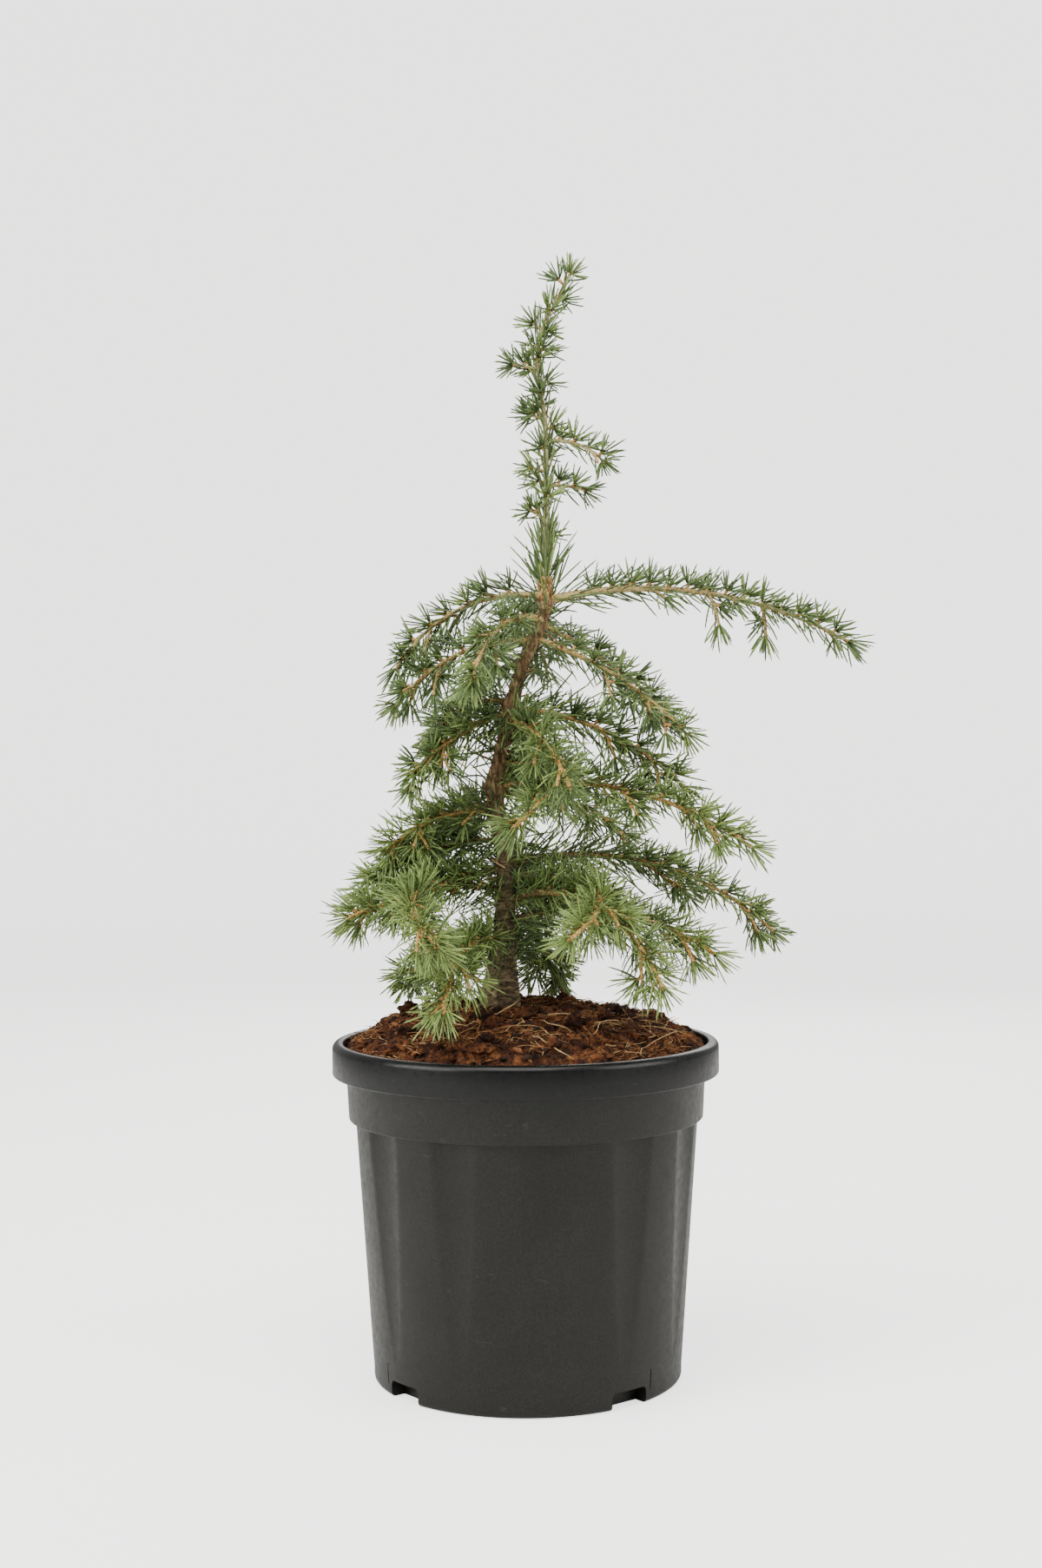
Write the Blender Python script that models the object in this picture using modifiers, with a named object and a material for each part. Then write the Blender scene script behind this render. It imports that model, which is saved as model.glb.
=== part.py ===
"""A young cedar of Lebanon in a black nursery pot.

The pot is a turned shell with pressed flutes and drain notches, and the soil fills it. The trunk stands
on the soil, whole from its flat cut to its tip. Each bough leaves the trunk as one tapering limb and
carries on as a mass of foliage: a stem, side twigs and sprays of needles, fused into one body.
Sizes are in metres and angles in degrees. +Z is up, -Y is the front, and the origin is the centre of
the pot's flat underside.
"""

import math
from collections import namedtuple

import bmesh
import bpy
import numpy as np
from mathutils import Matrix, Vector, noise

GAP = 0.0003  # clearance between neighbouring bodies

# Pot
POT_HEIGHT = 0.2200
POT_STEPS = 48
MOUTH_RADIUS = 0.1197
RIM_RADIUS = 0.1269
RIM_FOOT = 0.1990  # height of the rolled rim's lower edge
COLLAR_TOP_RADIUS = 0.1177
COLLAR_RADIUS = 0.1163
COLLAR_FOOT = 0.1700
WALL_TOP_RADIUS = 0.1127
WALL_FOOT_RADIUS = 0.1010
WALL_FOOT = 0.0080
BASE_RADIUS = 0.0993
WALL = 0.0042
FLOOR = 0.0040
FLUTES = 12
FLUTE_START = 6.0  # first flute, turned from the front towards +X
FLUTE_TOP = 0.1690
FLUTE_END = 0.0200
FLUTE_DEPTH = 0.0027
FLUTE_HALF_ANGLE = 8.0
DRUM_SIDES = 44  # of the drums that press the flutes
NOTCHES = 4
NOTCH_START = 39.0
NOTCH_WIDTH = 0.0280
NOTCH_HEIGHT = 0.0110
NOTCH_ROUND = 0.0030
NOTCH_INNER_RADIUS = 0.0900

# Soil
SOIL_TOP = 0.2385  # level patch that the trunk stands on
SOIL_EDGE = 0.2150  # height where the mound meets the pot
MOUND_FLAT = 0.0320
MOUND_ROUGHNESS = 0.0022

# Trunk: height above its flat cut, and how far it leans to the right and to the back
TRUNK_LINE = (
    (0.000, -0.0165, 0.0000),
    (0.006, -0.0165, 0.0000),
    (0.047, -0.0142, 0.0010),
    (0.100, -0.0125, 0.0020),
    (0.147, -0.0187, 0.0005),
    (0.183, -0.0112, -0.0015),
    (0.226, 0.0000, -0.0030),
    (0.257, 0.0134, -0.0045),
    (0.300, 0.0154, -0.0050),
    (0.380, 0.0160, -0.0040),
    (0.444, 0.0136, -0.0035),
    (0.4685, 0.0252, -0.0030),
)
TRUNK_FOOT_RADIUS = 0.0076  # without the root flare
TRUNK_HEAD_RADIUS = 0.0032  # just under the leader
TRUNK_HEAD = 0.2770
LEADER_BLEND = 0.0100  # height over which the head narrows to the leader
LEADER_FOOT_RADIUS = 0.0025
LEADER_TIP_RADIUS = 0.0010
FLARE = 0.0052  # extra radius of the swollen foot
FLARE_HEIGHT = 0.0290  # where half of it has faded
FLARE_FADE = 0.0075
NODE_SWELL = 0.0016  # extra radius where a whorl of boughs leaves the trunk
NODE_SPAN = 0.0070
NODES = (0.147, 0.199, 0.268)
TRUNK_SIDES = 9
TRUNK_RINGS = 32  # besides one at each whorl
TRUNK_SAMPLES = 400

# Boughs
BARE_SHARE = 0.30  # share of a bough that is bare limb, before its foliage
FIRST_TWIG_SHARE = 0.25  # where twigs begin on a bough that has no bare limb of its own
FIRST_SPRAY_SHARE = 0.18
LIMB_SIDES = 6
LIMB_RINGS = 4
STEM_SIDES = 3
STEM_RINGS = 5
TWIG_RINGS = 3
TIP_RADIUS = 0.0008
FOOT_RADIUS = 0.0012
FOOT_GROWTH = 0.0090  # extra foot radius for each metre of bough
TWIG_RADIUS = 0.0009
TWIG_TAPER = 0.6  # a twig's tip radius as a share of its root's
TWIG_SPLAY = 48.0
TWIG_DROOP = 32.0
TWIGS_START = 0.10  # share of a bough's foliage before its twigs
TWIGS_SPAN = 0.78  # share of it that the twigs are spread over
ROOM_STEPS = 12  # points along a bough where its room is taken

# Sprays of needles
SPRAY_PITCH = 0.0285
SPRAY_MARGIN = 0.0060  # the last stretch of a twig holds its tip spray only
SPRAY_FOOT_ROOM = 0.2  # share of the pitch that stays free at a twig's root
SPRAY_SPUR = 0.0034  # how far a spray's waist stands off its twig
SPRAY_CORE = 0.0014
SPRAY_FIRST_TURN = 30.0
SPRAY_TURN = 137.5
SPRAY_AHEAD = 0.55  # how far a side spray leans towards the twig's tip, and upwards
SPRAY_UPWARDS = 0.35
SPRAY_BANDS = (("upper", 28.0, 20.0), ("middle", 68.0, -12.0))  # name, lean and turn of four needles
NEEDLE_LENGTH = 0.0142
TIP_NEEDLE_LENGTH = 0.0150
NEEDLE_ROOT = 0.0012
SEED = 41

# limb says whether a bare limb of its own carries the mass. up is the height above the ground, heading
# turns from +X towards the back, rise is the slope at the trunk, droop how far it has bent down and
# sweep how far it has turned at the tip. dip tilts the side twigs down.
Bough = namedtuple("Bough", "name limb up heading rise droop length sweep twigs twig_length dip")
BOUGHS = (
    Bough("top_right", True, 0.269, -6, 13, 43, 0.202, 0, 2, 0.026, 60),
    Bough("top_left", True, 0.272, -169, 8, 67, 0.116, 0, 3, 0.026, 12),
    Bough("top_front", True, 0.256, -119, 8, 60, 0.122, 10, 3, 0.026, 10),
    Bough("top_back", True, 0.262, 96, 12, 55, 0.118, -8, 3, 0.028, 12),
    Bough("upper_right_back", True, 0.254, 39, -20, 14, 0.125, -4, 3, 0.024, 8),
    Bough("upper_right", True, 0.244, -23, -17, 29, 0.122, 2, 3, 0.026, 8),
    Bough("upper_left", True, 0.243, -152, 3, 52, 0.112, 0, 3, 0.026, 10),
    Bough("upper_back", False, 0.228, 132, -2, 48, 0.100, 6, 3, 0.024, 8),
    Bough("middle_left", False, 0.202, 168, 18, 80, 0.062, 0, 2, 0.020, 8),
    Bough("middle_left_front", True, 0.197, -148, -16, 24, 0.083, 0, 3, 0.024, 8),
    Bough("middle_right", True, 0.199, -14, -4, 41, 0.128, 0, 3, 0.026, 10),
    Bough("middle_front", True, 0.190, -66, -4, 34, 0.118, -8, 3, 0.020, 6),
    Bough("middle_front_left", False, 0.163, -22, -2, 34, 0.122, -128, 3, 0.022, 6),
    Bough("middle_back", True, 0.192, 80, 6, 52, 0.122, 10, 3, 0.028, 10),
    Bough("right", True, 0.147, -20, 10, 45, 0.181, 0, 3, 0.030, 8),
    Bough("right_back", False, 0.142, 42, 7, 42, 0.128, 0, 3, 0.026, 8),
    Bough("left", False, 0.130, -166, 8, 50, 0.078, 0, 3, 0.024, 6),
    Bough("left_back", False, 0.134, 118, 6, 50, 0.118, 8, 3, 0.028, 10),
    Bough("low_right", True, 0.096, 14, 13, 55, 0.206, 8, 3, 0.034, 6),
    Bough("low_right_front", True, 0.071, -40, 22, 82, 0.154, -8, 3, 0.030, 8),
    Bough("lowest_right", True, 0.058, -14, 19, 53, 0.145, 0, 3, 0.028, 8),
    Bough("low_front", False, 0.088, -10, 2, 27, 0.158, -125, 3, 0.024, 6),
    Bough("low_left", False, 0.112, -178, 2, 42, 0.100, 0, 3, 0.026, 6),
    Bough("low_left_front", True, 0.094, -157, -10, 10, 0.112, 0, 3, 0.028, 6),
    Bough("low_front_left", True, 0.079, -167, 13, 48, 0.158, 122, 3, 0.026, 8),
    Bough("low_back", True, 0.088, 86, 14, 58, 0.138, -8, 3, 0.032, 8),
    Bough("lowest_left", True, 0.043, -115, 19, 66, 0.128, 16, 3, 0.026, 8),
    Bough("lowest_left_back", False, 0.042, 150, 2, 36, 0.084, 0, 3, 0.024, 6),
    Bough("lowest_right_back", False, 0.040, 62, 12, 60, 0.112, 14, 3, 0.026, 6),
    Bough("leader_right", False, 0.373, -8, 8, 55, 0.041, 0, 1, 0.012, 0),
    Bough("leader_low_right", False, 0.344, 14, 8, 25, 0.026, 0, 0, 0.0, 0),
    Bough("leader_low_left", False, 0.3215, 172, 38, 10, 0.012, 0, 0, 0.0, 0),
    Bough("leader_left", False, 0.353, -165, 20, 10, 0.010, 0, 0, 0.0, 0),
    Bough("leader_high_left", False, 0.388, 150, 20, 10, 0.011, 0, 0, 0.0, 0),
    Bough("leader_top_left", False, 0.4205, -172, 10, 0, 0.016, 0, 0, 0.0, 0),
    Bough("leader_crown_left", False, 0.446, 165, 40, 0, 0.007, 0, 0, 0.0, 0),
    Bough("leader_crown_right", False, 0.440, -20, 40, 0, 0.007, 0, 0, 0.0, 0),
)
LEADER_TIP = Bough("leader_tip", False, 0.4685, 0, 62, 0, 0.016, 0, 0, 0.0, 0)

SHEET = "Potted_Cedar_of_Lebanon"
DEGREE = math.pi / 180


# Scene, materials and small helpers


def clear_scene():
    """Takes every object out of the scene."""
    for item in list(bpy.data.objects):
        bpy.data.objects.remove(item, do_unlink=True)


def new_collection(name):
    """Makes a collection in the scene, or empties the one that has this name."""
    found = bpy.data.collections.get(name)
    if found is not None:
        bpy.data.collections.remove(found)
    made = bpy.data.collections.new(name)
    bpy.context.scene.collection.children.link(made)
    return made


def new_material(name, colour, roughness):
    """A Principled material of one plain colour."""
    made = bpy.data.materials.get(name) or bpy.data.materials.new(name)
    made.use_nodes = True
    shader = made.node_tree.nodes["Principled BSDF"]
    shader.inputs["Base Color"].default_value = (*colour, 1.0)
    shader.inputs["Roughness"].default_value = roughness
    shader.inputs["Metallic"].default_value = 0.0
    made.diffuse_color = (*colour, 1.0)
    return made


def new_object(name, data, collection):
    """An object of this mesh or curve, in the collection."""
    made = bpy.data.objects.new(name, data)
    collection.objects.link(made)
    return made


def as_mesh_object(item, name, collection):
    """Replaces an object by the mesh that its curve or its modifiers make."""
    bpy.context.view_layer.update()
    seen = item.evaluated_get(bpy.context.evaluated_depsgraph_get())
    mesh = bpy.data.meshes.new_from_object(seen)
    mesh.transform(item.matrix_world)
    bpy.data.objects.remove(item, do_unlink=True)
    mesh.name = name
    return new_object(name, mesh, collection)


def weld(mesh, distance):
    """Joins points closer than the distance and turns every face outwards."""
    bm = bmesh.new()
    bm.from_mesh(mesh)
    bmesh.ops.remove_doubles(bm, verts=bm.verts, dist=distance)
    bmesh.ops.dissolve_degenerate(bm, edges=bm.edges, dist=distance)
    bmesh.ops.recalc_face_normals(bm, faces=bm.faces)
    bm.to_mesh(mesh)
    bm.free()


def keep_largest_body(mesh):
    """Drops any scrap that a cut or a fuse leaves loose beside the main body."""
    bm = bmesh.new()
    bm.from_mesh(mesh)
    unseen = set(bm.faces)
    bodies = []
    while unseen:
        front = [unseen.pop()]
        body = set(front)
        while front:
            for edge in front.pop().edges:
                for face in edge.link_faces:
                    if face in unseen:
                        unseen.discard(face)
                        body.add(face)
                        front.append(face)
        bodies.append(body)
    bodies.sort(key=len, reverse=True)
    scraps = [face for body in bodies[1:] for face in body]
    bmesh.ops.delete(bm, geom=scraps, context="FACES")
    bm.to_mesh(mesh)
    bm.free()


def combine(item, operation, operand, name, collection):
    """Applies one Boolean of a collection's objects to the item, then removes those objects."""
    modifier = item.modifiers.new("combine", "BOOLEAN")
    modifier.operation = operation
    modifier.operand_type = "COLLECTION"
    modifier.collection = operand
    modifier.solver = "EXACT"
    made = as_mesh_object(item, name, collection)
    for used in list(operand.objects):
        bpy.data.objects.remove(used, do_unlink=True)
    weld(made.data, 2e-6)
    keep_largest_body(made.data)
    return made


def finish(item, material, smooth_angle):
    """Gives a body its material and shades its round sides smooth."""
    item.data.materials.clear()
    item.data.materials.append(material)
    item.data.shade_smooth()
    item.data.set_sharp_from_angle(angle=smooth_angle * DEGREE)


# Pot and soil


def wall_radius(z):
    """The pot wall's outer radius at a height, between its foot and the collar."""
    share = (z - WALL_FOOT) / (COLLAR_FOOT - WALL_FOOT)
    return WALL_FOOT_RADIUS + share * (WALL_TOP_RADIUS - WALL_FOOT_RADIUS)


def turned(name, profile, steps, collection):
    """Turns a profile of (radius, height) points round the upright axis."""
    mesh = bpy.data.meshes.new(name)
    points = [(radius, 0.0, height) for radius, height in profile]
    edges = [(k, k + 1) for k in range(len(points) - 1)]
    mesh.from_pydata(points, edges, [])
    made = new_object(name, mesh, collection)
    screw = made.modifiers.new("turn", "SCREW")
    screw.axis = "Z"
    screw.angle = 2 * math.pi
    screw.steps = steps
    screw.render_steps = steps
    screw.use_merge_vertices = True
    screw.merge_threshold = 1e-5
    return made


def pot_inside():
    """The inner wall from the floor up to the mouth, as (radius, height) points."""
    return [
        (wall_radius(FLOOR) - WALL, FLOOR),
        (wall_radius(0.1675) - WALL, 0.1675),
        (COLLAR_RADIUS - WALL, 0.1725),
        (COLLAR_TOP_RADIUS - WALL, RIM_FOOT),
        (MOUTH_RADIUS, POT_HEIGHT - 0.0030),
    ]


def flute_cutters(collection):
    """Leaning drums whose sides press a flute into the wall: deep under the collar, fading out below."""
    half_width = WALL_TOP_RADIUS * math.sin(FLUTE_HALF_ANGLE * DEGREE)
    wall_bulge = half_width**2 / (2 * WALL_TOP_RADIUS)
    drum_radius = half_width**2 / (2 * (FLUTE_DEPTH - wall_bulge))
    top_distance = wall_radius(FLUTE_TOP) - FLUTE_DEPTH + drum_radius
    end_distance = wall_radius(FLUTE_END) + drum_radius
    lean = math.atan2(top_distance - end_distance, FLUTE_TOP - FLUTE_END)
    for k in range(FLUTES):
        turn = (FLUTE_START + k * 360 / FLUTES - 90) * DEGREE
        middle = (top_distance + end_distance) / 2
        place = (middle * math.cos(turn), middle * math.sin(turn), (FLUTE_TOP + FLUTE_END) / 2)
        bpy.ops.mesh.primitive_cylinder_add(
            vertices=DRUM_SIDES,
            radius=drum_radius,
            depth=(FLUTE_TOP - FLUTE_END) / math.cos(lean),
            location=place,
            rotation=(0, lean, turn),
        )
        claim_cutter(f"flute_cutter_{k + 1}", collection)


def notch_cutters(collection):
    """Blocks with rounded upper corners that cut the drain notches through the wall's foot."""
    depth = BASE_RADIUS + 0.010 - NOTCH_INNER_RADIUS
    for k in range(NOTCHES):
        turn = (NOTCH_START + k * 360 / NOTCHES - 90) * DEGREE
        distance = NOTCH_INNER_RADIUS + depth / 2
        place = (distance * math.cos(turn), distance * math.sin(turn), 0.0)
        bpy.ops.mesh.primitive_cube_add(size=1.0, location=place, rotation=(0, 0, turn))
        block = bpy.context.active_object
        block.scale = (depth, NOTCH_WIDTH, 2 * NOTCH_HEIGHT)
        bpy.ops.object.transform_apply(location=False, rotation=False, scale=True)
        bevel = block.modifiers.new("round", "BEVEL")
        bevel.width = NOTCH_ROUND
        bevel.segments = 3
        bevel.limit_method = "WEIGHT"
        weights = block.data.attributes.new("bevel_weight_edge", "FLOAT", "EDGE")
        for edge in block.data.edges:
            ends = [block.data.vertices[i].co for i in edge.vertices]
            lies_outwards = abs(ends[0].x - ends[1].x) > depth / 2
            weights.data[edge.index].value = float(lies_outwards and ends[0].z > 0)
        claim_cutter(f"notch_cutter_{k + 1}", collection)


def claim_cutter(name, collection):
    """Names the active object and moves it to the cutters' collection."""
    cutter = bpy.context.active_object
    cutter.name = name
    cutter.display_type = "WIRE"
    cutter.hide_render = True
    for home in list(cutter.users_collection):
        home.objects.unlink(cutter)
    collection.objects.link(cutter)


def make_pot(parts, cutters, material):
    """The nursery pot: floor, fluted wall, collar and rolled rim, with four drain notches."""
    outside = [
        (MOUTH_RADIUS + 0.0006, POT_HEIGHT - 0.0008),
        (MOUTH_RADIUS + 0.0018, POT_HEIGHT),
        (RIM_RADIUS - 0.0030, POT_HEIGHT),
        (RIM_RADIUS - 0.0009, POT_HEIGHT - 0.0020),
        (RIM_RADIUS, POT_HEIGHT - 0.0055),
        (RIM_RADIUS, RIM_FOOT),
        (COLLAR_TOP_RADIUS, RIM_FOOT),
        (COLLAR_RADIUS, COLLAR_FOOT + 0.0010),
        (WALL_TOP_RADIUS, COLLAR_FOOT - 0.0005),
        (WALL_FOOT_RADIUS, WALL_FOOT),
        (BASE_RADIUS + 0.0010, 0.0025),
        (BASE_RADIUS, 0.0),
        (0.0, 0.0),
    ]
    pot = turned("pot", [(0.0, FLOOR)] + pot_inside() + outside, POT_STEPS, parts)
    pot = as_mesh_object(pot, "pot", parts)
    flute_cutters(cutters)
    notch_cutters(cutters)
    pot = combine(pot, "DIFFERENCE", cutters, "pot", parts)
    finish(pot, material, 25)
    return pot


def make_soil(parts, material):
    """The soil: it fills the pot, and stands over the rim as a rough mound with a level crown."""
    fit = GAP + 0.0002
    side = [(radius - fit, height) for radius, height in reversed(pot_inside()[:-1])]
    edge_share = (SOIL_EDGE - RIM_FOOT) / (POT_HEIGHT - 0.0030 - RIM_FOOT)
    edge_radius = COLLAR_TOP_RADIUS - WALL + edge_share * (MOUTH_RADIUS - COLLAR_TOP_RADIUS + WALL) - fit
    rings = 7
    mound = []
    for k in range(rings):
        share = k / rings
        radius = MOUND_FLAT + share * (edge_radius - MOUND_FLAT)
        mound.append((radius, SOIL_TOP - (SOIL_TOP - SOIL_EDGE) * share**2.2))
    profile = [(0.0, SOIL_TOP)] + mound + [(edge_radius, SOIL_EDGE)] + side
    profile[-1] = (profile[-1][0], FLOOR + GAP)
    profile.append((0.0, FLOOR + GAP))
    soil = as_mesh_object(turned("soil", profile, POT_STEPS // 2, parts), "soil", parts)
    for point in soil.data.vertices:
        radius = math.hypot(point.co.x, point.co.y)
        if point.co.z > SOIL_EDGE + 0.0005 and radius > MOUND_FLAT + 0.004:
            lump = noise.noise(Vector((point.co.x, point.co.y, 0.0)) * 42.0)
            point.co.z += MOUND_ROUGHNESS * lump
    weld(soil.data, 1e-6)
    finish(soil, material, 40)
    return soil


def ground_height(points):
    """The height of the soil, the rim or the open air's floor below each point."""
    radius = np.hypot(points[:, 0], points[:, 1])
    share = np.clip((radius - MOUND_FLAT) / (MOUTH_RADIUS - MOUND_FLAT), 0, 1)
    mound = SOIL_TOP - (SOIL_TOP - SOIL_EDGE) * share**2.2 + MOUND_ROUGHNESS
    over_pot = np.maximum(mound, POT_HEIGHT)
    return np.where(radius < RIM_RADIUS + 0.001, over_pot, 0.0)


# Lines of the trunk, the boughs and their twigs


def trunk_line(where):
    """The trunk's centre line at heights above the ground: a Catmull-Rom curve through its knots."""
    knots = np.array(TRUNK_LINE)
    slopes = np.gradient(knots[:, 1:], knots[:, 0], axis=0)
    slopes[0] = 0.0
    piece = np.clip(np.searchsorted(knots[:, 0], where, side="right") - 1, 0, len(knots) - 2)
    span = knots[piece + 1, 0] - knots[piece, 0]
    t = ((where - knots[piece, 0]) / span)[:, None]
    start, end = knots[piece, 1:], knots[piece + 1, 1:]
    pull, push = slopes[piece] * span[:, None], slopes[piece + 1] * span[:, None]
    sides = (2 * t**3 - 3 * t**2 + 1) * start + (t**3 - 2 * t**2 + t) * pull
    sides += (3 * t**2 - 2 * t**3) * end + (t**3 - t**2) * push
    return np.column_stack([sides, where + SOIL_TOP + GAP])


def trunk_radius(up):
    """Taper from foot to head, then a thin leader, with a swollen foot and a swelling at each whorl."""
    up = np.asarray(up, dtype=float)
    lower = np.clip(up / TRUNK_HEAD, 0, 1)
    stem = TRUNK_FOOT_RADIUS + (TRUNK_HEAD_RADIUS - TRUNK_FOOT_RADIUS) * lower
    higher = np.clip((up - TRUNK_HEAD) / (TRUNK_LINE[-1][0] - TRUNK_HEAD), 0, 1)
    leader = LEADER_FOOT_RADIUS + (LEADER_TIP_RADIUS - LEADER_FOOT_RADIUS) * higher
    blend = np.clip((up - TRUNK_HEAD) / LEADER_BLEND, 0, 1)
    radius = stem * (1 - blend) + leader * blend
    radius = radius + FLARE / (1 + np.exp((up - FLARE_HEIGHT) / FLARE_FADE))
    for node in NODES:
        radius = radius + NODE_SWELL * np.exp(-(((up - node) / NODE_SPAN) ** 2))
    return radius


def trunk_point(up):
    """The point on the trunk's centre line at a height above the ground."""
    heights = np.linspace(0.0, TRUNK_LINE[-1][0], TRUNK_SAMPLES)
    line = trunk_line(heights)
    return np.array([np.interp(up, heights, line[:, axis]) for axis in range(3)])


def heading_vector(heading, slope):
    """Unit vectors that point to a heading from +X towards the back, at a slope above level."""
    heading, slope = np.radians(heading), np.radians(slope)
    level = np.cos(slope)
    return np.stack([level * np.cos(heading), level * np.sin(heading), np.sin(slope)], -1)


def bough_line(bough, start=0.0, end=1.0, count=8):
    """Points along a bough: its slope falls by droop and its heading turns by sweep, evenly to the tip."""
    fine = 120
    share = (np.arange(fine) + 0.5) / fine
    steps = heading_vector(bough.heading + bough.sweep * share, bough.rise - bough.droop * share)
    line = np.vstack([np.zeros(3), np.cumsum(steps, axis=0) * bough.length / fine])
    line += trunk_point(bough.up)
    at = np.linspace(start, end, count)
    return np.column_stack([np.interp(at, np.linspace(0, 1, fine + 1), line[:, k]) for k in range(3)])


def bough_radius(bough, share):
    """A bough's radius at a share of its length."""
    foot = FOOT_RADIUS + FOOT_GROWTH * bough.length
    return foot + (TIP_RADIUS - foot) * np.asarray(share) ** 0.8


def twig_lines(bough, start, rng):
    """The side twigs of a bough's foliage, in turn to its left and right, shorter towards the tip."""
    lines = []
    for k in range(bough.twigs):
        spread = TWIGS_START + TWIGS_SPAN * (k + rng.uniform(0.2, 0.8)) / bough.twigs
        share = start + (1 - start) * spread
        side = 1 if k % 2 else -1
        splay = side * TWIG_SPLAY * rng.uniform(0.8, 1.2)
        length = bough.twig_length * (1.15 - 0.5 * share) * rng.uniform(0.85, 1.15)
        slope = bough.rise - bough.droop * share - bough.dip * rng.uniform(0.6, 1.2)
        heading = bough.heading + bough.sweep * share + splay
        bend = np.linspace(0, 1, TWIG_RINGS)
        steps = heading_vector(heading - 0.3 * splay * bend, slope - TWIG_DROOP * bend)
        root = bough_line(bough, share, share, 1)[0]
        travel = np.cumsum((steps[1:] + steps[:-1]) / 2, axis=0) * length / (TWIG_RINGS - 1)
        lines.append(np.vstack([root, root + travel]))
    return lines


# Room: what is already placed, so that nothing is put where it would touch


class Room:
    """Tapering segments that are already taken, each with its owner."""

    def __init__(self):
        self.starts, self.ends = np.zeros((0, 3)), np.zeros((0, 3))
        self.radii = np.zeros((0, 2))
        self.owners = np.zeros(0, dtype=int)
        self.needles = np.zeros(0, dtype=bool)

    def take(self, line, radii, owner, needle=False):
        """Takes the room along a line of points."""
        count = len(line) - 1
        self.starts = np.vstack([self.starts, line[:-1]])
        self.ends = np.vstack([self.ends, line[1:]])
        self.radii = np.vstack([self.radii, np.column_stack([radii[:-1], radii[1:]])])
        self.owners = np.append(self.owners, [owner] * count)
        self.needles = np.append(self.needles, [needle] * count)

    def clearance(self, start, end, radii, owner, own_needles=False):
        """The least distance from a segment's skin to that of what others have taken."""
        other = self.owners != owner
        if own_needles:
            other |= self.needles
        if not other.any():
            return 1.0
        a, b = self.starts[other], self.ends[other]
        along, across, between = end - start, b - a, start - a
        aa, bb = along @ along, np.einsum("ij,ij->i", across, across)
        ab, ac = across @ along, between @ along
        bc = np.einsum("ij,ij->i", across, between)
        spread = np.maximum(aa * bb - ab * ab, 1e-18)
        s = np.clip((ab * bc - ac * bb) / spread, 0, 1)
        t = np.clip((ab * s + bc) / bb, 0, 1)
        s = np.clip((ab * t - ac) / aa, 0, 1)
        apart = np.linalg.norm(between + s[:, None] * along - t[:, None] * across, axis=1)
        skin = radii[0] + (radii[1] - radii[0]) * s
        theirs = self.radii[other]
        skin = skin + theirs[:, 0] + (theirs[:, 1] - theirs[:, 0]) * t
        return float((apart - skin).min())


def is_free(room, line, radii, owner, own_needles=False):
    """Whether a line of segments keeps its gap to all that is placed, and to the soil and the pot."""
    if (line[:, 2] < ground_height(line) + 0.0015).any():
        return False
    for k in range(len(line) - 1):
        found = room.clearance(line[k], line[k + 1], radii[k : k + 2], owner, own_needles)
        if found < 1.5 * GAP:
            return False
    return True


# Bodies of the plant


class Sections:
    """The closed outlines that limbs are swept along, one for each number of sides."""

    def __init__(self, collection):
        self.collection = collection
        self.made = {}

    def outline(self, sides):
        """A unit polygon with this many corners, as a curve."""
        if sides not in self.made:
            curve = bpy.data.curves.new(f"section_{sides}", "CURVE")
            curve.dimensions = "2D"
            spline = curve.splines.new("POLY")
            spline.points.add(sides - 1)
            for k, point in enumerate(spline.points):
                turn = 2 * math.pi * k / sides
                point.co = (math.cos(turn), math.sin(turn), 0.0, 1.0)
            spline.use_cyclic_u = True
            outline = new_object(curve.name, curve, self.collection)
            outline.hide_render = True
            self.made[sides] = outline
        return self.made[sides]

    def sweep(self, name, line, radii, sides, collection):
        """A tapering limb along a line of points, with closed ends, as a mesh."""
        curve = bpy.data.curves.new(name, "CURVE")
        curve.dimensions = "3D"
        spline = curve.splines.new("POLY")
        spline.points.add(len(line) - 1)
        for point, place, radius in zip(spline.points, line, radii):
            point.co = (*place, 1.0)
            point.radius = radius
        curve.bevel_mode = "OBJECT"
        curve.bevel_object = self.outline(sides)
        curve.use_fill_caps = True
        limb = as_mesh_object(new_object(name, curve, collection), name, collection)
        weld(limb.data, 1e-6)
        return limb


def spray_needles(length, rng):
    """A spray's eight needles, as keys of its core's faces with their tips: four rise, four spread."""
    needles = {}
    for band, lean, band_turn in SPRAY_BANDS:
        for quarter in range(4):
            turn = (45 + 90 * quarter + band_turn + rng.uniform(-9, 9)) * DEGREE
            tilt = (lean + rng.uniform(-8, 8)) * DEGREE
            out = Vector((math.sin(tilt) * math.cos(turn), math.sin(tilt) * math.sin(turn), math.cos(tilt)))
            needles[(band, quarter)] = Vector((0, 0, SPRAY_SPUR)) + out * length * rng.uniform(0.82, 1.1)
    return needles


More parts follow.
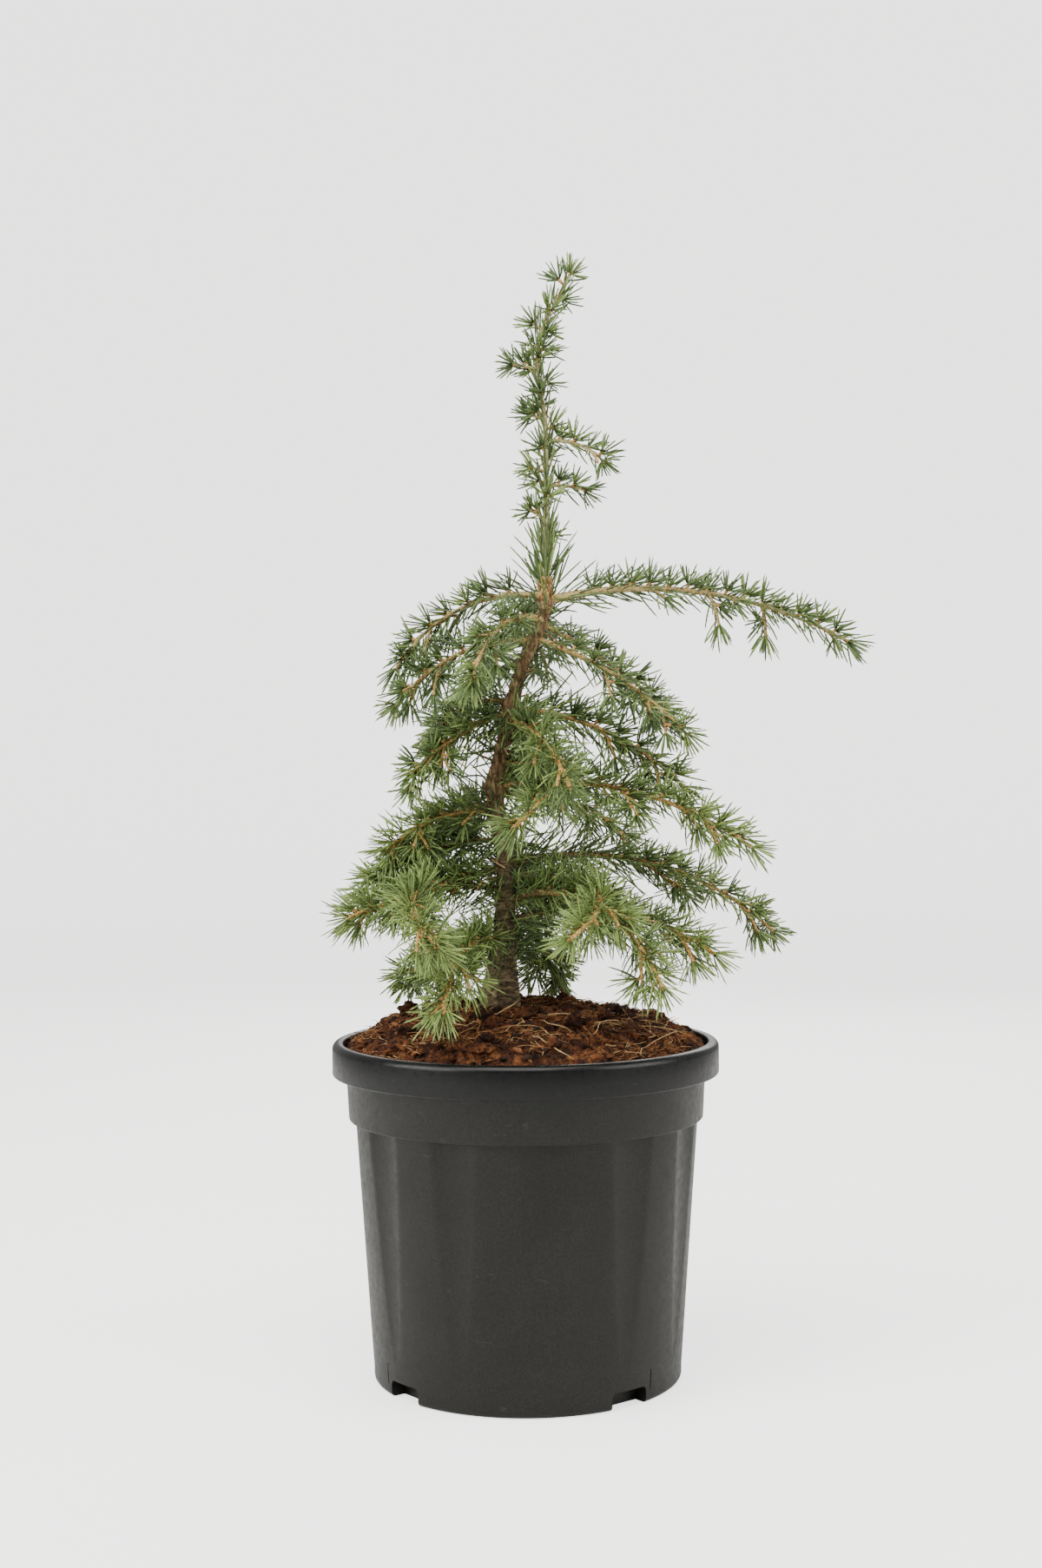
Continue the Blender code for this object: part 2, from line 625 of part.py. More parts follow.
def spray_object(needles, frame, collection):
    """A slim spindle whose faces are drawn out into needles. Its foot is sunk in the twig."""
    bm = bmesh.new()
    bmesh.ops.create_uvsphere(bm, u_segments=4, v_segments=3, radius=1.0)
    faces = {}
    for face in bm.faces:
        middle = face.calc_center_median()
        quarter = int(math.degrees(math.atan2(middle.y, middle.x)) % 360 // 90)
        band = "middle" if abs(middle.z) < 0.2 else "upper" if middle.z > 0 else "lower"
        faces[(band, quarter)] = face
    for point in bm.verts:
        out = Vector((point.co.x, point.co.y, 0.0))
        if out.length > 0.1:
            out = out.normalized() * SPRAY_CORE
            out.z = SPRAY_SPUR + SPRAY_CORE * (0.6 if point.co.z > 0 else -0.6)
        elif point.co.z > 0:
            out.z = SPRAY_SPUR + 1.6 * SPRAY_CORE
        point.co = out
    for key, tip in needles.items():
        drawn = bmesh.ops.poke(bm, faces=[faces[key]])
        drawn["verts"][0].co = tip
    bmesh.ops.transform(bm, matrix=frame, verts=bm.verts)
    mesh = bpy.data.meshes.new("spray")
    bm.to_mesh(mesh)
    bm.free()
    return new_object("spray", mesh, collection)


def spray_frame(foot, axis, spin):
    """The matrix that stands a spray on a twig's centre line, along an axis."""
    stand = Vector(axis).to_track_quat("Z", "Y").to_matrix().to_4x4()
    return Matrix.Translation(foot) @ stand @ Matrix.Rotation(spin, 4, "Z")


def spray_places(line):
    """Where sprays stand along a twig: side sprays in a spiral, then one at the tip."""
    steps = np.linalg.norm(np.diff(line, axis=0), axis=1)
    travel = np.concatenate([[0.0], np.cumsum(steps)])
    places = []
    count = int((travel[-1] - SPRAY_MARGIN) / SPRAY_PITCH)
    pitch = min(SPRAY_PITCH, travel[-1] / (count + SPRAY_FOOT_ROOM))
    for k in range(count):
        at = travel[-1] - (k + 1) * pitch
        foot = np.array([np.interp(at, travel, line[:, axis]) for axis in range(3)])
        piece = min(int(np.searchsorted(travel, at)), len(line) - 1)
        ahead = (line[piece] - line[piece - 1]) / steps[piece - 1]
        level = np.cross(ahead, (0.0, 0.0, 1.0))
        level /= np.linalg.norm(level)
        above = np.cross(level, ahead)
        turn = (k * SPRAY_TURN + SPRAY_FIRST_TURN) * DEGREE
        out = math.cos(turn) * level + math.sin(turn) * above
        places.append((foot, out + SPRAY_AHEAD * ahead + SPRAY_UPWARDS * above, NEEDLE_LENGTH))
    ahead = (line[-1] - line[-2]) / steps[-1]
    places.append((line[-1] - NEEDLE_ROOT * ahead, ahead, TIP_NEEDLE_LENGTH))
    return places


def grow_sprays(line, owner, room, rng, pieces):
    """Puts sprays along a twig. A needle that would touch something is left out of its spray."""
    for foot, axis, length in spray_places(line):
        frame = spray_frame(Vector(foot), axis, rng.uniform(0, 2 * math.pi))
        needles = spray_needles(length, rng)
        waist = np.array(frame @ Vector((0, 0, SPRAY_SPUR + SPRAY_CORE)))
        spur = np.array([foot, waist])
        if not is_free(room, spur, (SPRAY_CORE, SPRAY_CORE), owner):
            continue
        kept = {}
        for key, tip in needles.items():
            root = np.array(frame @ Vector((0, 0, SPRAY_SPUR)))
            reach = np.array([root, np.array(frame @ tip)])
            if is_free(room, reach, (NEEDLE_ROOT, 0.0), owner, own_needles=True):
                kept[key] = (tip, reach)
        if len(kept) < 3:
            continue
        room.take(spur, (SPRAY_CORE, SPRAY_CORE), owner)
        for _, reach in kept.values():
            room.take(reach, (NEEDLE_ROOT, 0.0), owner, needle=True)
        spray_object({key: tip for key, (tip, _) in kept.items()}, frame, pieces)


def make_trunk(parts, sections, material):
    """The trunk, whole from the flat cut at its foot to the leader's tip."""
    heights = np.union1d(np.linspace(0.0, TRUNK_LINE[-1][0], TRUNK_RINGS), NODES)
    line = trunk_line(heights)
    radii = trunk_radius(heights)
    trunk = sections.sweep("trunk", line, radii, TRUNK_SIDES, parts)
    finish(trunk, material, 50)
    return line, radii


def cut_clear(item, name, line, radii, sections, workshop, parts):
    """Cuts a limb's foot off 0.3 mm clear of the trunk's bark."""
    sections.sweep("trunk_clearance", line, radii + GAP, TRUNK_SIDES, workshop)
    return combine(item, "DIFFERENCE", workshop, name, parts)


def stem_start(bough):
    """The share of a bough where its mass begins: its gap past the limb's tip, or past the leader's."""
    if bough is LEADER_TIP:
        return GAP / bough.length
    if not bough.limb:
        return 0.0
    limb_piece = BARE_SHARE / (LIMB_RINGS - 1)
    stem_piece = (1 - BARE_SHARE) / (STEM_RINGS - 1)
    bend = math.hypot(bough.sweep, bough.droop) * DEGREE * (limb_piece + stem_piece) / 2
    return BARE_SHARE + (GAP + bough_radius(bough, BARE_SHARE) * bend) / bough.length


def plan_boughs(room):
    """Lays out every limb, stem and twig first, so that needles can keep clear of them all."""
    plans = []
    for owner, bough in enumerate(BOUGHS + (LEADER_TIP,), start=1):
        shares = np.linspace(0.0, 1.0, ROOM_STEPS)
        room.take(bough_line(bough, 0.0, 1.0, ROOM_STEPS), bough_radius(bough, shares), owner)
        plans.append((owner, bough, np.random.default_rng([SEED, owner])))
    grown = []
    for owner, bough, rng in plans:
        twigs = []
        for line in twig_lines(bough, BARE_SHARE if bough.limb else FIRST_TWIG_SHARE, rng):
            radii = np.linspace(TWIG_RADIUS, TWIG_TAPER * TWIG_RADIUS, len(line))
            if is_free(room, line, radii, owner):
                room.take(line, radii, owner)
                twigs.append((line, radii))
        grown.append((owner, bough, rng, twigs))
    return grown


def make_boughs(parts, workshop, sections, trunk, wood, green):
    """The bare limbs and the masses of foliage, each fused into one body."""
    middle_line, trunk_radii = trunk
    room = Room()
    room.take(middle_line, trunk_radii, 0)
    for owner, bough, rng, twigs in plan_boughs(room):
        if bough.limb:
            name = f"bough_{bough.name}"
            line = bough_line(bough, 0.0, BARE_SHARE, LIMB_RINGS)
            radii = bough_radius(bough, np.linspace(0.0, BARE_SHARE, LIMB_RINGS))
            limb = sections.sweep(name, line, radii, LIMB_SIDES, parts)
            limb = cut_clear(limb, name, middle_line, trunk_radii, sections, workshop, parts)
            finish(limb, wood, 50)
        name = f"foliage_{bough.name}"
        start = stem_start(bough)
        radii = bough_radius(bough, np.linspace(start, 1.0, STEM_RINGS))
        if bough is LEADER_TIP:
            radii = np.linspace(LEADER_TIP_RADIUS, TIP_RADIUS, STEM_RINGS)
        mass = sections.sweep(name, bough_line(bough, start, 1.0, STEM_RINGS), radii, STEM_SIDES, parts)
        leafy_start = start if bough.limb else FIRST_SPRAY_SHARE
        grow_sprays(bough_line(bough, leafy_start, 1.0, STEM_RINGS), owner, room, rng, workshop)
        for line, radii in twigs:
            sections.sweep("twig", line, radii, STEM_SIDES, workshop)
            grow_sprays(line, owner, room, rng, workshop)
        mass = combine(mass, "UNION", workshop, name, parts)
        if not bough.limb and bough is not LEADER_TIP:
            mass = cut_clear(mass, name, middle_line, trunk_radii, sections, workshop, parts)
        finish(mass, green, 30)


def main():
    clear_scene()
    parts = new_collection(SHEET)
    cutters = new_collection("Cutters")
    workshop = new_collection("Workshop")
    black = new_material("pot_plastic", (0.024, 0.024, 0.023), 0.42)
    brown = new_material("soil", (0.085, 0.036, 0.018), 0.95)
    bark = new_material("bark", (0.145, 0.105, 0.070), 0.85)
    green = new_material("needles", (0.095, 0.170, 0.060), 0.55)
    make_pot(parts, cutters, black)
    make_soil(parts, brown)
    sections = Sections(cutters)
    trunk = make_trunk(parts, sections, bark)
    make_boughs(parts, workshop, sections, trunk, bark, green)
    for outline in list(cutters.objects):
        bpy.data.objects.remove(outline, do_unlink=True)
    for spare in (cutters, workshop):
        bpy.data.collections.remove(spare)
    faces = {item.name: len(item.data.loop_triangles) for item in parts.objects}
    print("bodies", len(faces), "triangles", sum(faces.values()))


main()
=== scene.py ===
# %% [markdown]
# # A young cedar of Lebanon in a nursery pot
#
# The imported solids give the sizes, the places and the collision. This lesson puts the looks around them:
# a thin plastic pot, loose coir soil, a bark-covered trunk, drooping boughs and thousands of needles.
# Every shape is worked out with numpy as whole arrays, and every finish is made of shader nodes.

import math
from collections import namedtuple

import bpy
import numpy as np
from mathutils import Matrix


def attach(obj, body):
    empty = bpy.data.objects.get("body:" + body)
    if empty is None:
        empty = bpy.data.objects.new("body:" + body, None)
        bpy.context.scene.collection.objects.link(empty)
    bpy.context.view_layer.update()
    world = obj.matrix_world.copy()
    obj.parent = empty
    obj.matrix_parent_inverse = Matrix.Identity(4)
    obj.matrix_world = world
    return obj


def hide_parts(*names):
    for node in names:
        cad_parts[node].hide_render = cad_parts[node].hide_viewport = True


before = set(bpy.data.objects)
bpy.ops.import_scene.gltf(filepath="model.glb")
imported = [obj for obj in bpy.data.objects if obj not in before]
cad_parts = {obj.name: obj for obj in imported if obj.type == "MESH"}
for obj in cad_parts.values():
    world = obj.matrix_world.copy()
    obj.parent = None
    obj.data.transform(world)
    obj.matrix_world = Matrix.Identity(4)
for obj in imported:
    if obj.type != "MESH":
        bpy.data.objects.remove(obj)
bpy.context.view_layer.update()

# %% [markdown]
# ## The camera
#
# The plant was photographed from the front, a little above its middle, with a normal lens. A camera could
# be aimed with a constraint, but two plain angles and a place keep it exactly where the picture was taken:
# how far it looks down, how far it leans, and where it stands. The lens is a focal length in millimetres
# for a picture whose long side is 36 mm.

# %% Camera
CAMERA_PLACE = (-0.0017, -1.3748, 0.4021)
LOOKS_DOWN = 0.597
LEANS = -0.433
FOCAL_LENGTH = 47.99
SENSOR = 36.0


def pose(right, upward, backward, place):
    """A pose as a matrix, from three axes at right angles and a place."""
    matrix = np.eye(4)
    matrix[:3, 0], matrix[:3, 1], matrix[:3, 2], matrix[:3, 3] = right, upward, backward, place
    return matrix.T.tolist()


lens = bpy.data.cameras.new("camera")
lens.lens = FOCAL_LENGTH
lens.sensor_width = SENSOR
camera = bpy.data.objects.new("camera", lens)
bpy.context.scene.collection.objects.link(camera)
down, lean = math.radians(LOOKS_DOWN), math.radians(LEANS)
right = np.array([1.0, 0.0, 0.0])
forward = np.array([0.0, math.cos(down), -math.sin(down)])
upward = np.cross(right, forward)
turned_right = right * math.cos(lean) + upward * math.sin(lean)
turned_up = upward * math.cos(lean) - right * math.sin(lean)
camera.matrix_world = pose(turned_right, turned_up, -forward, CAMERA_PLACE)
bpy.context.scene.camera = camera
print("camera at", CAMERA_PLACE)

# %% [markdown]
# ## Meshes from arrays
#
# Most pieces here are skins: rings of points that follow a line, closed at both ends by a pole. One
# function turns a whole batch of such skins into one mesh, so that a twig, a pot and ten thousand needles
# are all made the same way. A loop over vertices in Python would take minutes; arrays take seconds.

# %% Mesh helpers


def new_piece(name, points, faces, materials, shades=None, smooth=True):
    """A mesh object from points (n, 3) and triangles (m, 3), with a material number for each triangle."""
    mesh = bpy.data.meshes.new(name)
    mesh.vertices.add(len(points))
    mesh.vertices.foreach_set("co", np.ascontiguousarray(points, np.float32).ravel())
    mesh.loops.add(faces.size)
    mesh.loops.foreach_set("vertex_index", np.ascontiguousarray(faces, np.int32).ravel())
    mesh.polygons.add(len(faces))
    mesh.polygons.foreach_set("loop_start", np.arange(0, faces.size, 3, dtype=np.int32))
    for material in materials:
        mesh.materials.append(material)
    if shades is not None:
        mesh.polygons.foreach_set("material_index", np.ascontiguousarray(shades, np.int32))
    mesh.update(calc_edges=True)
    if smooth:
        mesh.shade_smooth()
    piece = bpy.data.objects.new(name, mesh)
    bpy.context.scene.collection.objects.link(piece)
    print(f"{name}: {len(faces)} triangles")
    return piece


def add_ages(piece, ages):
    """Gives each point of a piece an age, from 0, this year's, to 1, for its material to read."""
    layer = piece.data.attributes.new("age", "FLOAT", "POINT")
    layer.data.foreach_set("value", np.concatenate(ages).astype(np.float32))


def skin_faces(rings, sides):
    """Triangles of a closed skin: a band of quads between neighbouring rings, and a fan to each pole."""
    ring = np.arange(rings - 1)[:, None] * sides
    side = np.arange(sides)[None, :]
    after = (side + 1) % sides
    a, b, c, d = ring + side, ring + after, ring + sides + after, ring + sides + side
    bands = np.stack([a, b, c, a, c, d], -1).reshape(-1, 3)
    first, last = rings * sides, rings * sides + 1
    side, after = side[0], after[0]
    foot = np.stack([np.full(sides, first), after, side], -1)
    top = (rings - 1) * sides
    head = np.stack([np.full(sides, last), top + side, top + after], -1)
    return np.vstack([bands, foot, head])


def skins(rings, feet, heads):
    """Closed skins from rings (n, rings, sides, 3) and their two poles (n, 3), as points and triangles."""
    count, ring_count, sides = rings.shape[:3]
    points = np.concatenate([rings.reshape(count, -1, 3), feet[:, None], heads[:, None]], axis=1)
    faces = skin_faces(ring_count, sides)[None] + np.arange(count)[:, None, None] * points.shape[1]
    return points.reshape(-1, 3), faces.reshape(-1, 3)


def join(parts):
    """Joins lists of points and triangles into one."""
    offsets = np.cumsum([0] + [len(points) for points, _ in parts[:-1]])
    faces = [part[1] + offset for part, offset in zip(parts, offsets)]
    return np.vstack([part[0] for part in parts]), np.vstack(faces)


def unit(vectors):
    """The vectors at length one."""
    return vectors / np.maximum(np.linalg.norm(vectors, axis=-1, keepdims=True), 1e-12)


def waves(points, size, seed, count=9):
    """Smooth noise about 0 and mostly within 1: waves of about this length in random directions, added."""
    rng = np.random.default_rng(seed)
    turns = unit(rng.normal(size=(count, 3))) * (2 * np.pi / (size * rng.uniform(0.6, 1.6, (count, 1))))
    phases = rng.uniform(0, 2 * np.pi, count)
    return np.sin(points @ turns.T + phases).sum(-1) / math.sqrt(count / 2) * 0.7


def tubes(lines, radii, sides, poles=0.5):
    """Round tubes along lines (n, rings, 3): each ring stands across its line, at right angles to it.

    The rings' sideways arm is the line's own plane's normal, less its share along the line, at length one.
    """
    ahead = unit(np.gradient(lines, axis=1))
    normal = np.cross(ahead[:, 0], ahead[:, -1])
    spare = np.cross(ahead[:, 0], np.where(np.abs(ahead[:, :1, 2]) < 0.9, [[0, 0, 1.0]], [[0, 1.0, 0]]))
    flat = np.linalg.norm(normal, axis=1, keepdims=True) < 1e-3
    normal = np.where(flat, spare, normal)[:, None]
    arm = unit(normal - (normal * ahead).sum(-1, keepdims=True) * ahead)
    other = np.cross(ahead, arm)
    turn = np.linspace(0, 2 * np.pi, sides, endpoint=False)
    circle = arm[:, :, None] * np.cos(turn)[:, None] + other[:, :, None] * np.sin(turn)[:, None]
    rings = lines[:, :, None] + circle * radii[:, :, None, None]
    feet = lines[:, 0] - ahead[:, 0] * radii[:, :1] * poles
    heads = lines[:, -1] + ahead[:, -1] * radii[:, -1:] * poles
    return rings, feet, heads


def turned_rings(profile, sides):
    """Rings of points round the upright axis, one for each (radius, height) point of a profile."""
    turn = np.linspace(0, 2 * np.pi, sides, endpoint=False)
    radius, height = profile[:, :1], profile[:, 1:]
    height = np.broadcast_to(height, (len(profile), sides))
    return np.stack([radius * np.cos(turn), radius * np.sin(turn), height], -1)


# %% [markdown]
# ## The rule that the plant grows by
#
# The solids were grown by a rule, and the same rule is written here again, so that every fine twig and
# needle lies where a solid is. A bough's slope falls and its heading turns evenly along it. Side twigs
# stand on it in turn to the left and right. The random numbers are drawn in the same order from the same
# seed, so the twigs come out the same.

# %% Sizes of the plant, the mound and the pot's mouth
POT_HEIGHT = 0.2200
MOUTH_RADIUS = 0.1197
RIM_CLEARANCE = 0.1285
SOIL_TOP = 0.2385
SOIL_EDGE = 0.2150
MOUND_FLAT = 0.0320
MOUND_POWER = 2.2
GROUND = SOIL_TOP + 0.0003
SEED = 41
BARE_SHARE = 0.30
FIRST_TWIG_SHARE = 0.25
TIP_RADIUS = 0.0008
BOUGH_STEPS = 120
FOOT_RADIUS = 0.0012
FOOT_GROWTH = 0.0090
TWIG_SPLAY = 48.0
TWIG_DROOP = 32.0
TWIG_STEPS = 3
GOLDEN_TURN = 137.5

# height above the soil, lean to the right and lean to the back
TRUNK_LINE = np.array([
    (0.000, -0.0165, 0.0000), (0.006, -0.0165, 0.0000), (0.047, -0.0142, 0.0010), (0.100, -0.0125, 0.0020),
    (0.147, -0.0187, 0.0005), (0.183, -0.0112, -0.0015), (0.226, 0.0000, -0.0030), (0.257, 0.0134, -0.0045),
    (0.300, 0.0154, -0.0050), (0.380, 0.0160, -0.0040), (0.444, 0.0136, -0.0035), (0.4685, 0.0252, -0.0030),
])
TRUNK_FOOT_RADIUS = 0.0076
TRUNK_HEAD_RADIUS = 0.0032
TRUNK_HEAD = 0.2770
LEADER_BLEND = 0.0100
LEADER_FOOT_RADIUS = 0.0025
LEADER_TIP_RADIUS = 0.0010
FLARE = 0.0052
FLARE_HEIGHT = 0.0290
FLARE_FADE = 0.0075
NODE_SWELL = 0.0016
NODE_SPAN = 0.0070
NODES = (0.147, 0.199, 0.268)

Bough = namedtuple("Bough", "name limb up heading rise droop length sweep twigs twig_length dip")
BOUGHS = (
    Bough("top_right", True, 0.269, -6, 13, 43, 0.202, 0, 2, 0.026, 60),
    Bough("top_left", True, 0.272, -169, 8, 67, 0.116, 0, 3, 0.026, 12),
    Bough("top_front", True, 0.256, -119, 8, 60, 0.122, 10, 3, 0.026, 10),
    Bough("top_back", True, 0.262, 96, 12, 55, 0.118, -8, 3, 0.028, 12),
    Bough("upper_right_back", True, 0.254, 39, -20, 14, 0.125, -4, 3, 0.024, 8),
    Bough("upper_right", True, 0.244, -23, -17, 29, 0.122, 2, 3, 0.026, 8),
    Bough("upper_left", True, 0.243, -152, 3, 52, 0.112, 0, 3, 0.026, 10),
    Bough("upper_back", False, 0.228, 132, -2, 48, 0.100, 6, 3, 0.024, 8),
    Bough("middle_left", False, 0.202, 168, 18, 80, 0.062, 0, 2, 0.020, 8),
    Bough("middle_left_front", True, 0.197, -148, -16, 24, 0.083, 0, 3, 0.024, 8),
    Bough("middle_right", True, 0.199, -14, -4, 41, 0.128, 0, 3, 0.026, 10),
    Bough("middle_front", True, 0.190, -66, -4, 34, 0.118, -8, 3, 0.020, 6),
    Bough("middle_front_left", False, 0.163, -22, -2, 34, 0.122, -128, 3, 0.022, 6),
    Bough("middle_back", True, 0.192, 80, 6, 52, 0.122, 10, 3, 0.028, 10),
    Bough("right", True, 0.147, -20, 10, 45, 0.181, 0, 3, 0.030, 8),
    Bough("right_back", False, 0.142, 42, 7, 42, 0.128, 0, 3, 0.026, 8),
    Bough("left", False, 0.130, -166, 8, 50, 0.078, 0, 3, 0.024, 6),
    Bough("left_back", False, 0.134, 118, 6, 50, 0.118, 8, 3, 0.028, 10),
    Bough("low_right", True, 0.096, 14, 13, 55, 0.206, 8, 3, 0.034, 6),
    Bough("low_right_front", True, 0.071, -40, 22, 82, 0.154, -8, 3, 0.030, 8),
    Bough("lowest_right", True, 0.058, -14, 19, 53, 0.145, 0, 3, 0.028, 8),
    Bough("low_front", False, 0.088, -10, 2, 27, 0.158, -125, 3, 0.024, 6),
    Bough("low_left", False, 0.112, -178, 2, 42, 0.100, 0, 3, 0.026, 6),
    Bough("low_left_front", True, 0.094, -157, -10, 10, 0.112, 0, 3, 0.028, 6),
    Bough("low_front_left", True, 0.079, -167, 13, 48, 0.158, 122, 3, 0.026, 8),
    Bough("low_back", True, 0.088, 86, 14, 58, 0.138, -8, 3, 0.032, 8),
    Bough("lowest_left", True, 0.043, -115, 19, 66, 0.128, 16, 3, 0.026, 8),
    Bough("lowest_left_back", False, 0.042, 150, 2, 36, 0.084, 0, 3, 0.024, 6),
    Bough("lowest_right_back", False, 0.040, 62, 12, 60, 0.112, 14, 3, 0.026, 6),
    Bough("leader_right", False, 0.373, -8, 8, 55, 0.041, 0, 1, 0.012, 0),
    Bough("leader_low_right", False, 0.344, 14, 8, 25, 0.026, 0, 0, 0.0, 0),
    Bough("leader_low_left", False, 0.3215, 172, 38, 10, 0.012, 0, 0, 0.0, 0),
    Bough("leader_left", False, 0.353, -165, 20, 10, 0.010, 0, 0, 0.0, 0),
    Bough("leader_high_left", False, 0.388, 150, 20, 10, 0.011, 0, 0, 0.0, 0),
    Bough("leader_top_left", False, 0.4205, -172, 10, 0, 0.016, 0, 0, 0.0, 0),
    Bough("leader_crown_left", False, 0.446, 165, 40, 0, 0.007, 0, 0, 0.0, 0),
    Bough("leader_crown_right", False, 0.440, -20, 40, 0, 0.007, 0, 0, 0.0, 0),
    Bough("leader_tip", False, 0.4685, 0, 62, 0, 0.016, 0, 0, 0.0, 0),
)
print(len(BOUGHS), "boughs")

# %% The trunk's line and radius


def smooth_line(knots, heights):
    """Points on a curve through the knots: between two knots a cubic that keeps each knot's slope."""
    slopes = np.gradient(knots[:, 1:], knots[:, 0], axis=0)
    slopes[0] = 0.0
    piece = np.clip(np.searchsorted(knots[:, 0], heights, side="right") - 1, 0, len(knots) - 2)
    span = (knots[piece + 1, 0] - knots[piece, 0])[:, None]
    t = (heights - knots[piece, 0])[:, None] / span
    sides = (2 * t**3 - 3 * t**2 + 1) * knots[piece, 1:] + (t**3 - 2 * t**2 + t) * slopes[piece] * span
    sides += (3 * t**2 - 2 * t**3) * knots[piece + 1, 1:] + (t**3 - t**2) * slopes[piece + 1] * span
    return np.column_stack([sides, heights + GROUND])


def trunk_radius(up):
    """Taper from foot to head, then a thin leader, with a swollen foot and a swelling at each whorl."""
    stem = TRUNK_FOOT_RADIUS + (TRUNK_HEAD_RADIUS - TRUNK_FOOT_RADIUS) * np.clip(up / TRUNK_HEAD, 0, 1)
    higher = np.clip((up - TRUNK_HEAD) / (TRUNK_LINE[-1, 0] - TRUNK_HEAD), 0, 1)
    leader = LEADER_FOOT_RADIUS + (LEADER_TIP_RADIUS - LEADER_FOOT_RADIUS) * higher
    blend = np.clip((up - TRUNK_HEAD) / LEADER_BLEND, 0, 1)
    radius = stem * (1 - blend) + leader * blend + FLARE / (1 + np.exp((up - FLARE_HEIGHT) / FLARE_FADE))
    for node in NODES:
        radius = radius + NODE_SWELL * np.exp(-(((up - node) / NODE_SPAN) ** 2))
    return radius


def trunk_point(up):
    """The point on the trunk's centre line at a height above the soil."""
    return smooth_line(TRUNK_LINE, np.array([up], float))[0]


print("trunk tip at", trunk_point(TRUNK_LINE[-1, 0]).round(3))

# %% The boughs' and twigs' lines


def directions(headings, slopes):
    """Unit vectors at headings from +X towards the back, and at slopes above level."""
    headings, slopes = np.radians(headings), np.radians(slopes)
    level = np.cos(slopes)
    return np.stack([level * np.cos(headings), level * np.sin(headings), np.sin(slopes)], -1)


def bough_line(bough, shares):
    """Points at shares of a bough, the sum of small steps whose slope and heading change evenly."""
    share = (np.arange(BOUGH_STEPS) + 0.5) / BOUGH_STEPS
    steps = directions(bough.heading + bough.sweep * share, bough.rise - bough.droop * share)
    travel = np.vstack([np.zeros(3), np.cumsum(steps, axis=0) * bough.length / BOUGH_STEPS])
    line = travel + trunk_point(bough.up)
    return np.stack([np.interp(shares, np.linspace(0, 1, BOUGH_STEPS + 1), line[:, k]) for k in range(3)], -1)


def bough_radius(bough, shares):
    """A taper from a foot that is thicker on a longer bough."""
    foot = FOOT_RADIUS + FOOT_GROWTH * bough.length
    return foot + (TIP_RADIUS - foot) * np.asarray(shares) ** 0.8


def twig_lines(bough, start, rng):
    """The side twigs, in turn to the left and the right, shorter towards the tip."""
    lines = []
    for k in range(bough.twigs):
        share = start + (1 - start) * (0.10 + 0.78 * (k + rng.uniform(0.2, 0.8)) / bough.twigs)
        splay = (1 if k % 2 else -1) * TWIG_SPLAY * rng.uniform(0.8, 1.2)
        length = bough.twig_length * (1.15 - 0.5 * share) * rng.uniform(0.85, 1.15)
        slope = bough.rise - bough.droop * share - bough.dip * rng.uniform(0.6, 1.2)
        heading = bough.heading + bough.sweep * share + splay
        bend = np.linspace(0, 1, TWIG_STEPS)
        steps = directions(heading - 0.3 * splay * bend, slope - TWIG_DROOP * bend)
        travel = np.cumsum((steps[1:] + steps[:-1]) / 2, axis=0) * length / (TWIG_STEPS - 1)
        root = bough_line(bough, np.array([share]))[0]
        lines.append(np.vstack([root, root + travel]))
    return lines


def spaced(line, pitch, start=0.0, end=0.0):
    """Points every pitch along a line, from a start to short of its end, with the directions there."""
    steps = np.linalg.norm(np.diff(line, axis=0), axis=1)
    travel = np.concatenate([[0.0], np.cumsum(steps)])
    at = np.arange(start + pitch / 2, travel[-1] - end, pitch)
    points = np.stack([np.interp(at, travel, line[:, k]) for k in range(3)], -1)
    nearby = np.stack([np.interp(at + 1e-4, travel, line[:, k]) for k in range(3)], -1)
    before = np.stack([np.interp(at - 1e-4, travel, line[:, k]) for k in range(3)], -1)
    return points, unit(nearby - before), at / travel[-1]


def refined(line, count):
    """The line with more points, rounded by a parabola through its first, middle and last point."""
    t = np.linspace(0, 1, count)[:, None]
    a, b, c = line[0], line[len(line) // 2], line[-1]
    return a * (1 - t) * (1 - 2 * t) + b * 4 * t * (1 - t) + c * t * (2 * t - 1)


print("a bough's line:", bough_line(BOUGHS[0], np.array([0.0, 1.0])).round(3).tolist())

# %% [markdown]
# ## Bark
#
# Young cedar wood is golden tan on this year's shoots, orange-brown and flaky on the upper trunk, and
# grey-brown with close ridges across it at the foot. An image of bark would stretch on the tapering limbs,
# so the colour comes from noise in the object's own space, blended by height, and the ridges are real
# geometry: the rings of points are pushed in and out before the mesh is made.

# %% Material helpers


def new_material(name, roughness, specular=0.5):
    """A material with a principled shader, and its node tree."""
    material = bpy.data.materials.new(name)
    material.use_nodes = True
    shader = material.node_tree.nodes["Principled BSDF"]
    shader.inputs["Roughness"].default_value = roughness
    shader.inputs["Specular IOR Level"].default_value = specular
    return material, material.node_tree, shader


def noise_node(tree, scale, detail=4.0, stretch=(1.0, 1.0, 1.0), distortion=0.0):
    """Noise in the object's own coordinates, in waves per metre, stretched along any axis."""
    place = tree.nodes.new("ShaderNodeTexCoord")
    mapping = tree.nodes.new("ShaderNodeMapping")
    mapping.inputs["Scale"].default_value = stretch
    noise = tree.nodes.new("ShaderNodeTexNoise")
    noise.inputs["Scale"].default_value = scale
    noise.inputs["Detail"].default_value = detail
    noise.inputs["Distortion"].default_value = distortion
    tree.links.new(place.outputs["Object"], mapping.inputs["Vector"])
    tree.links.new(mapping.outputs["Vector"], noise.inputs["Vector"])
    return noise.outputs["Fac"]


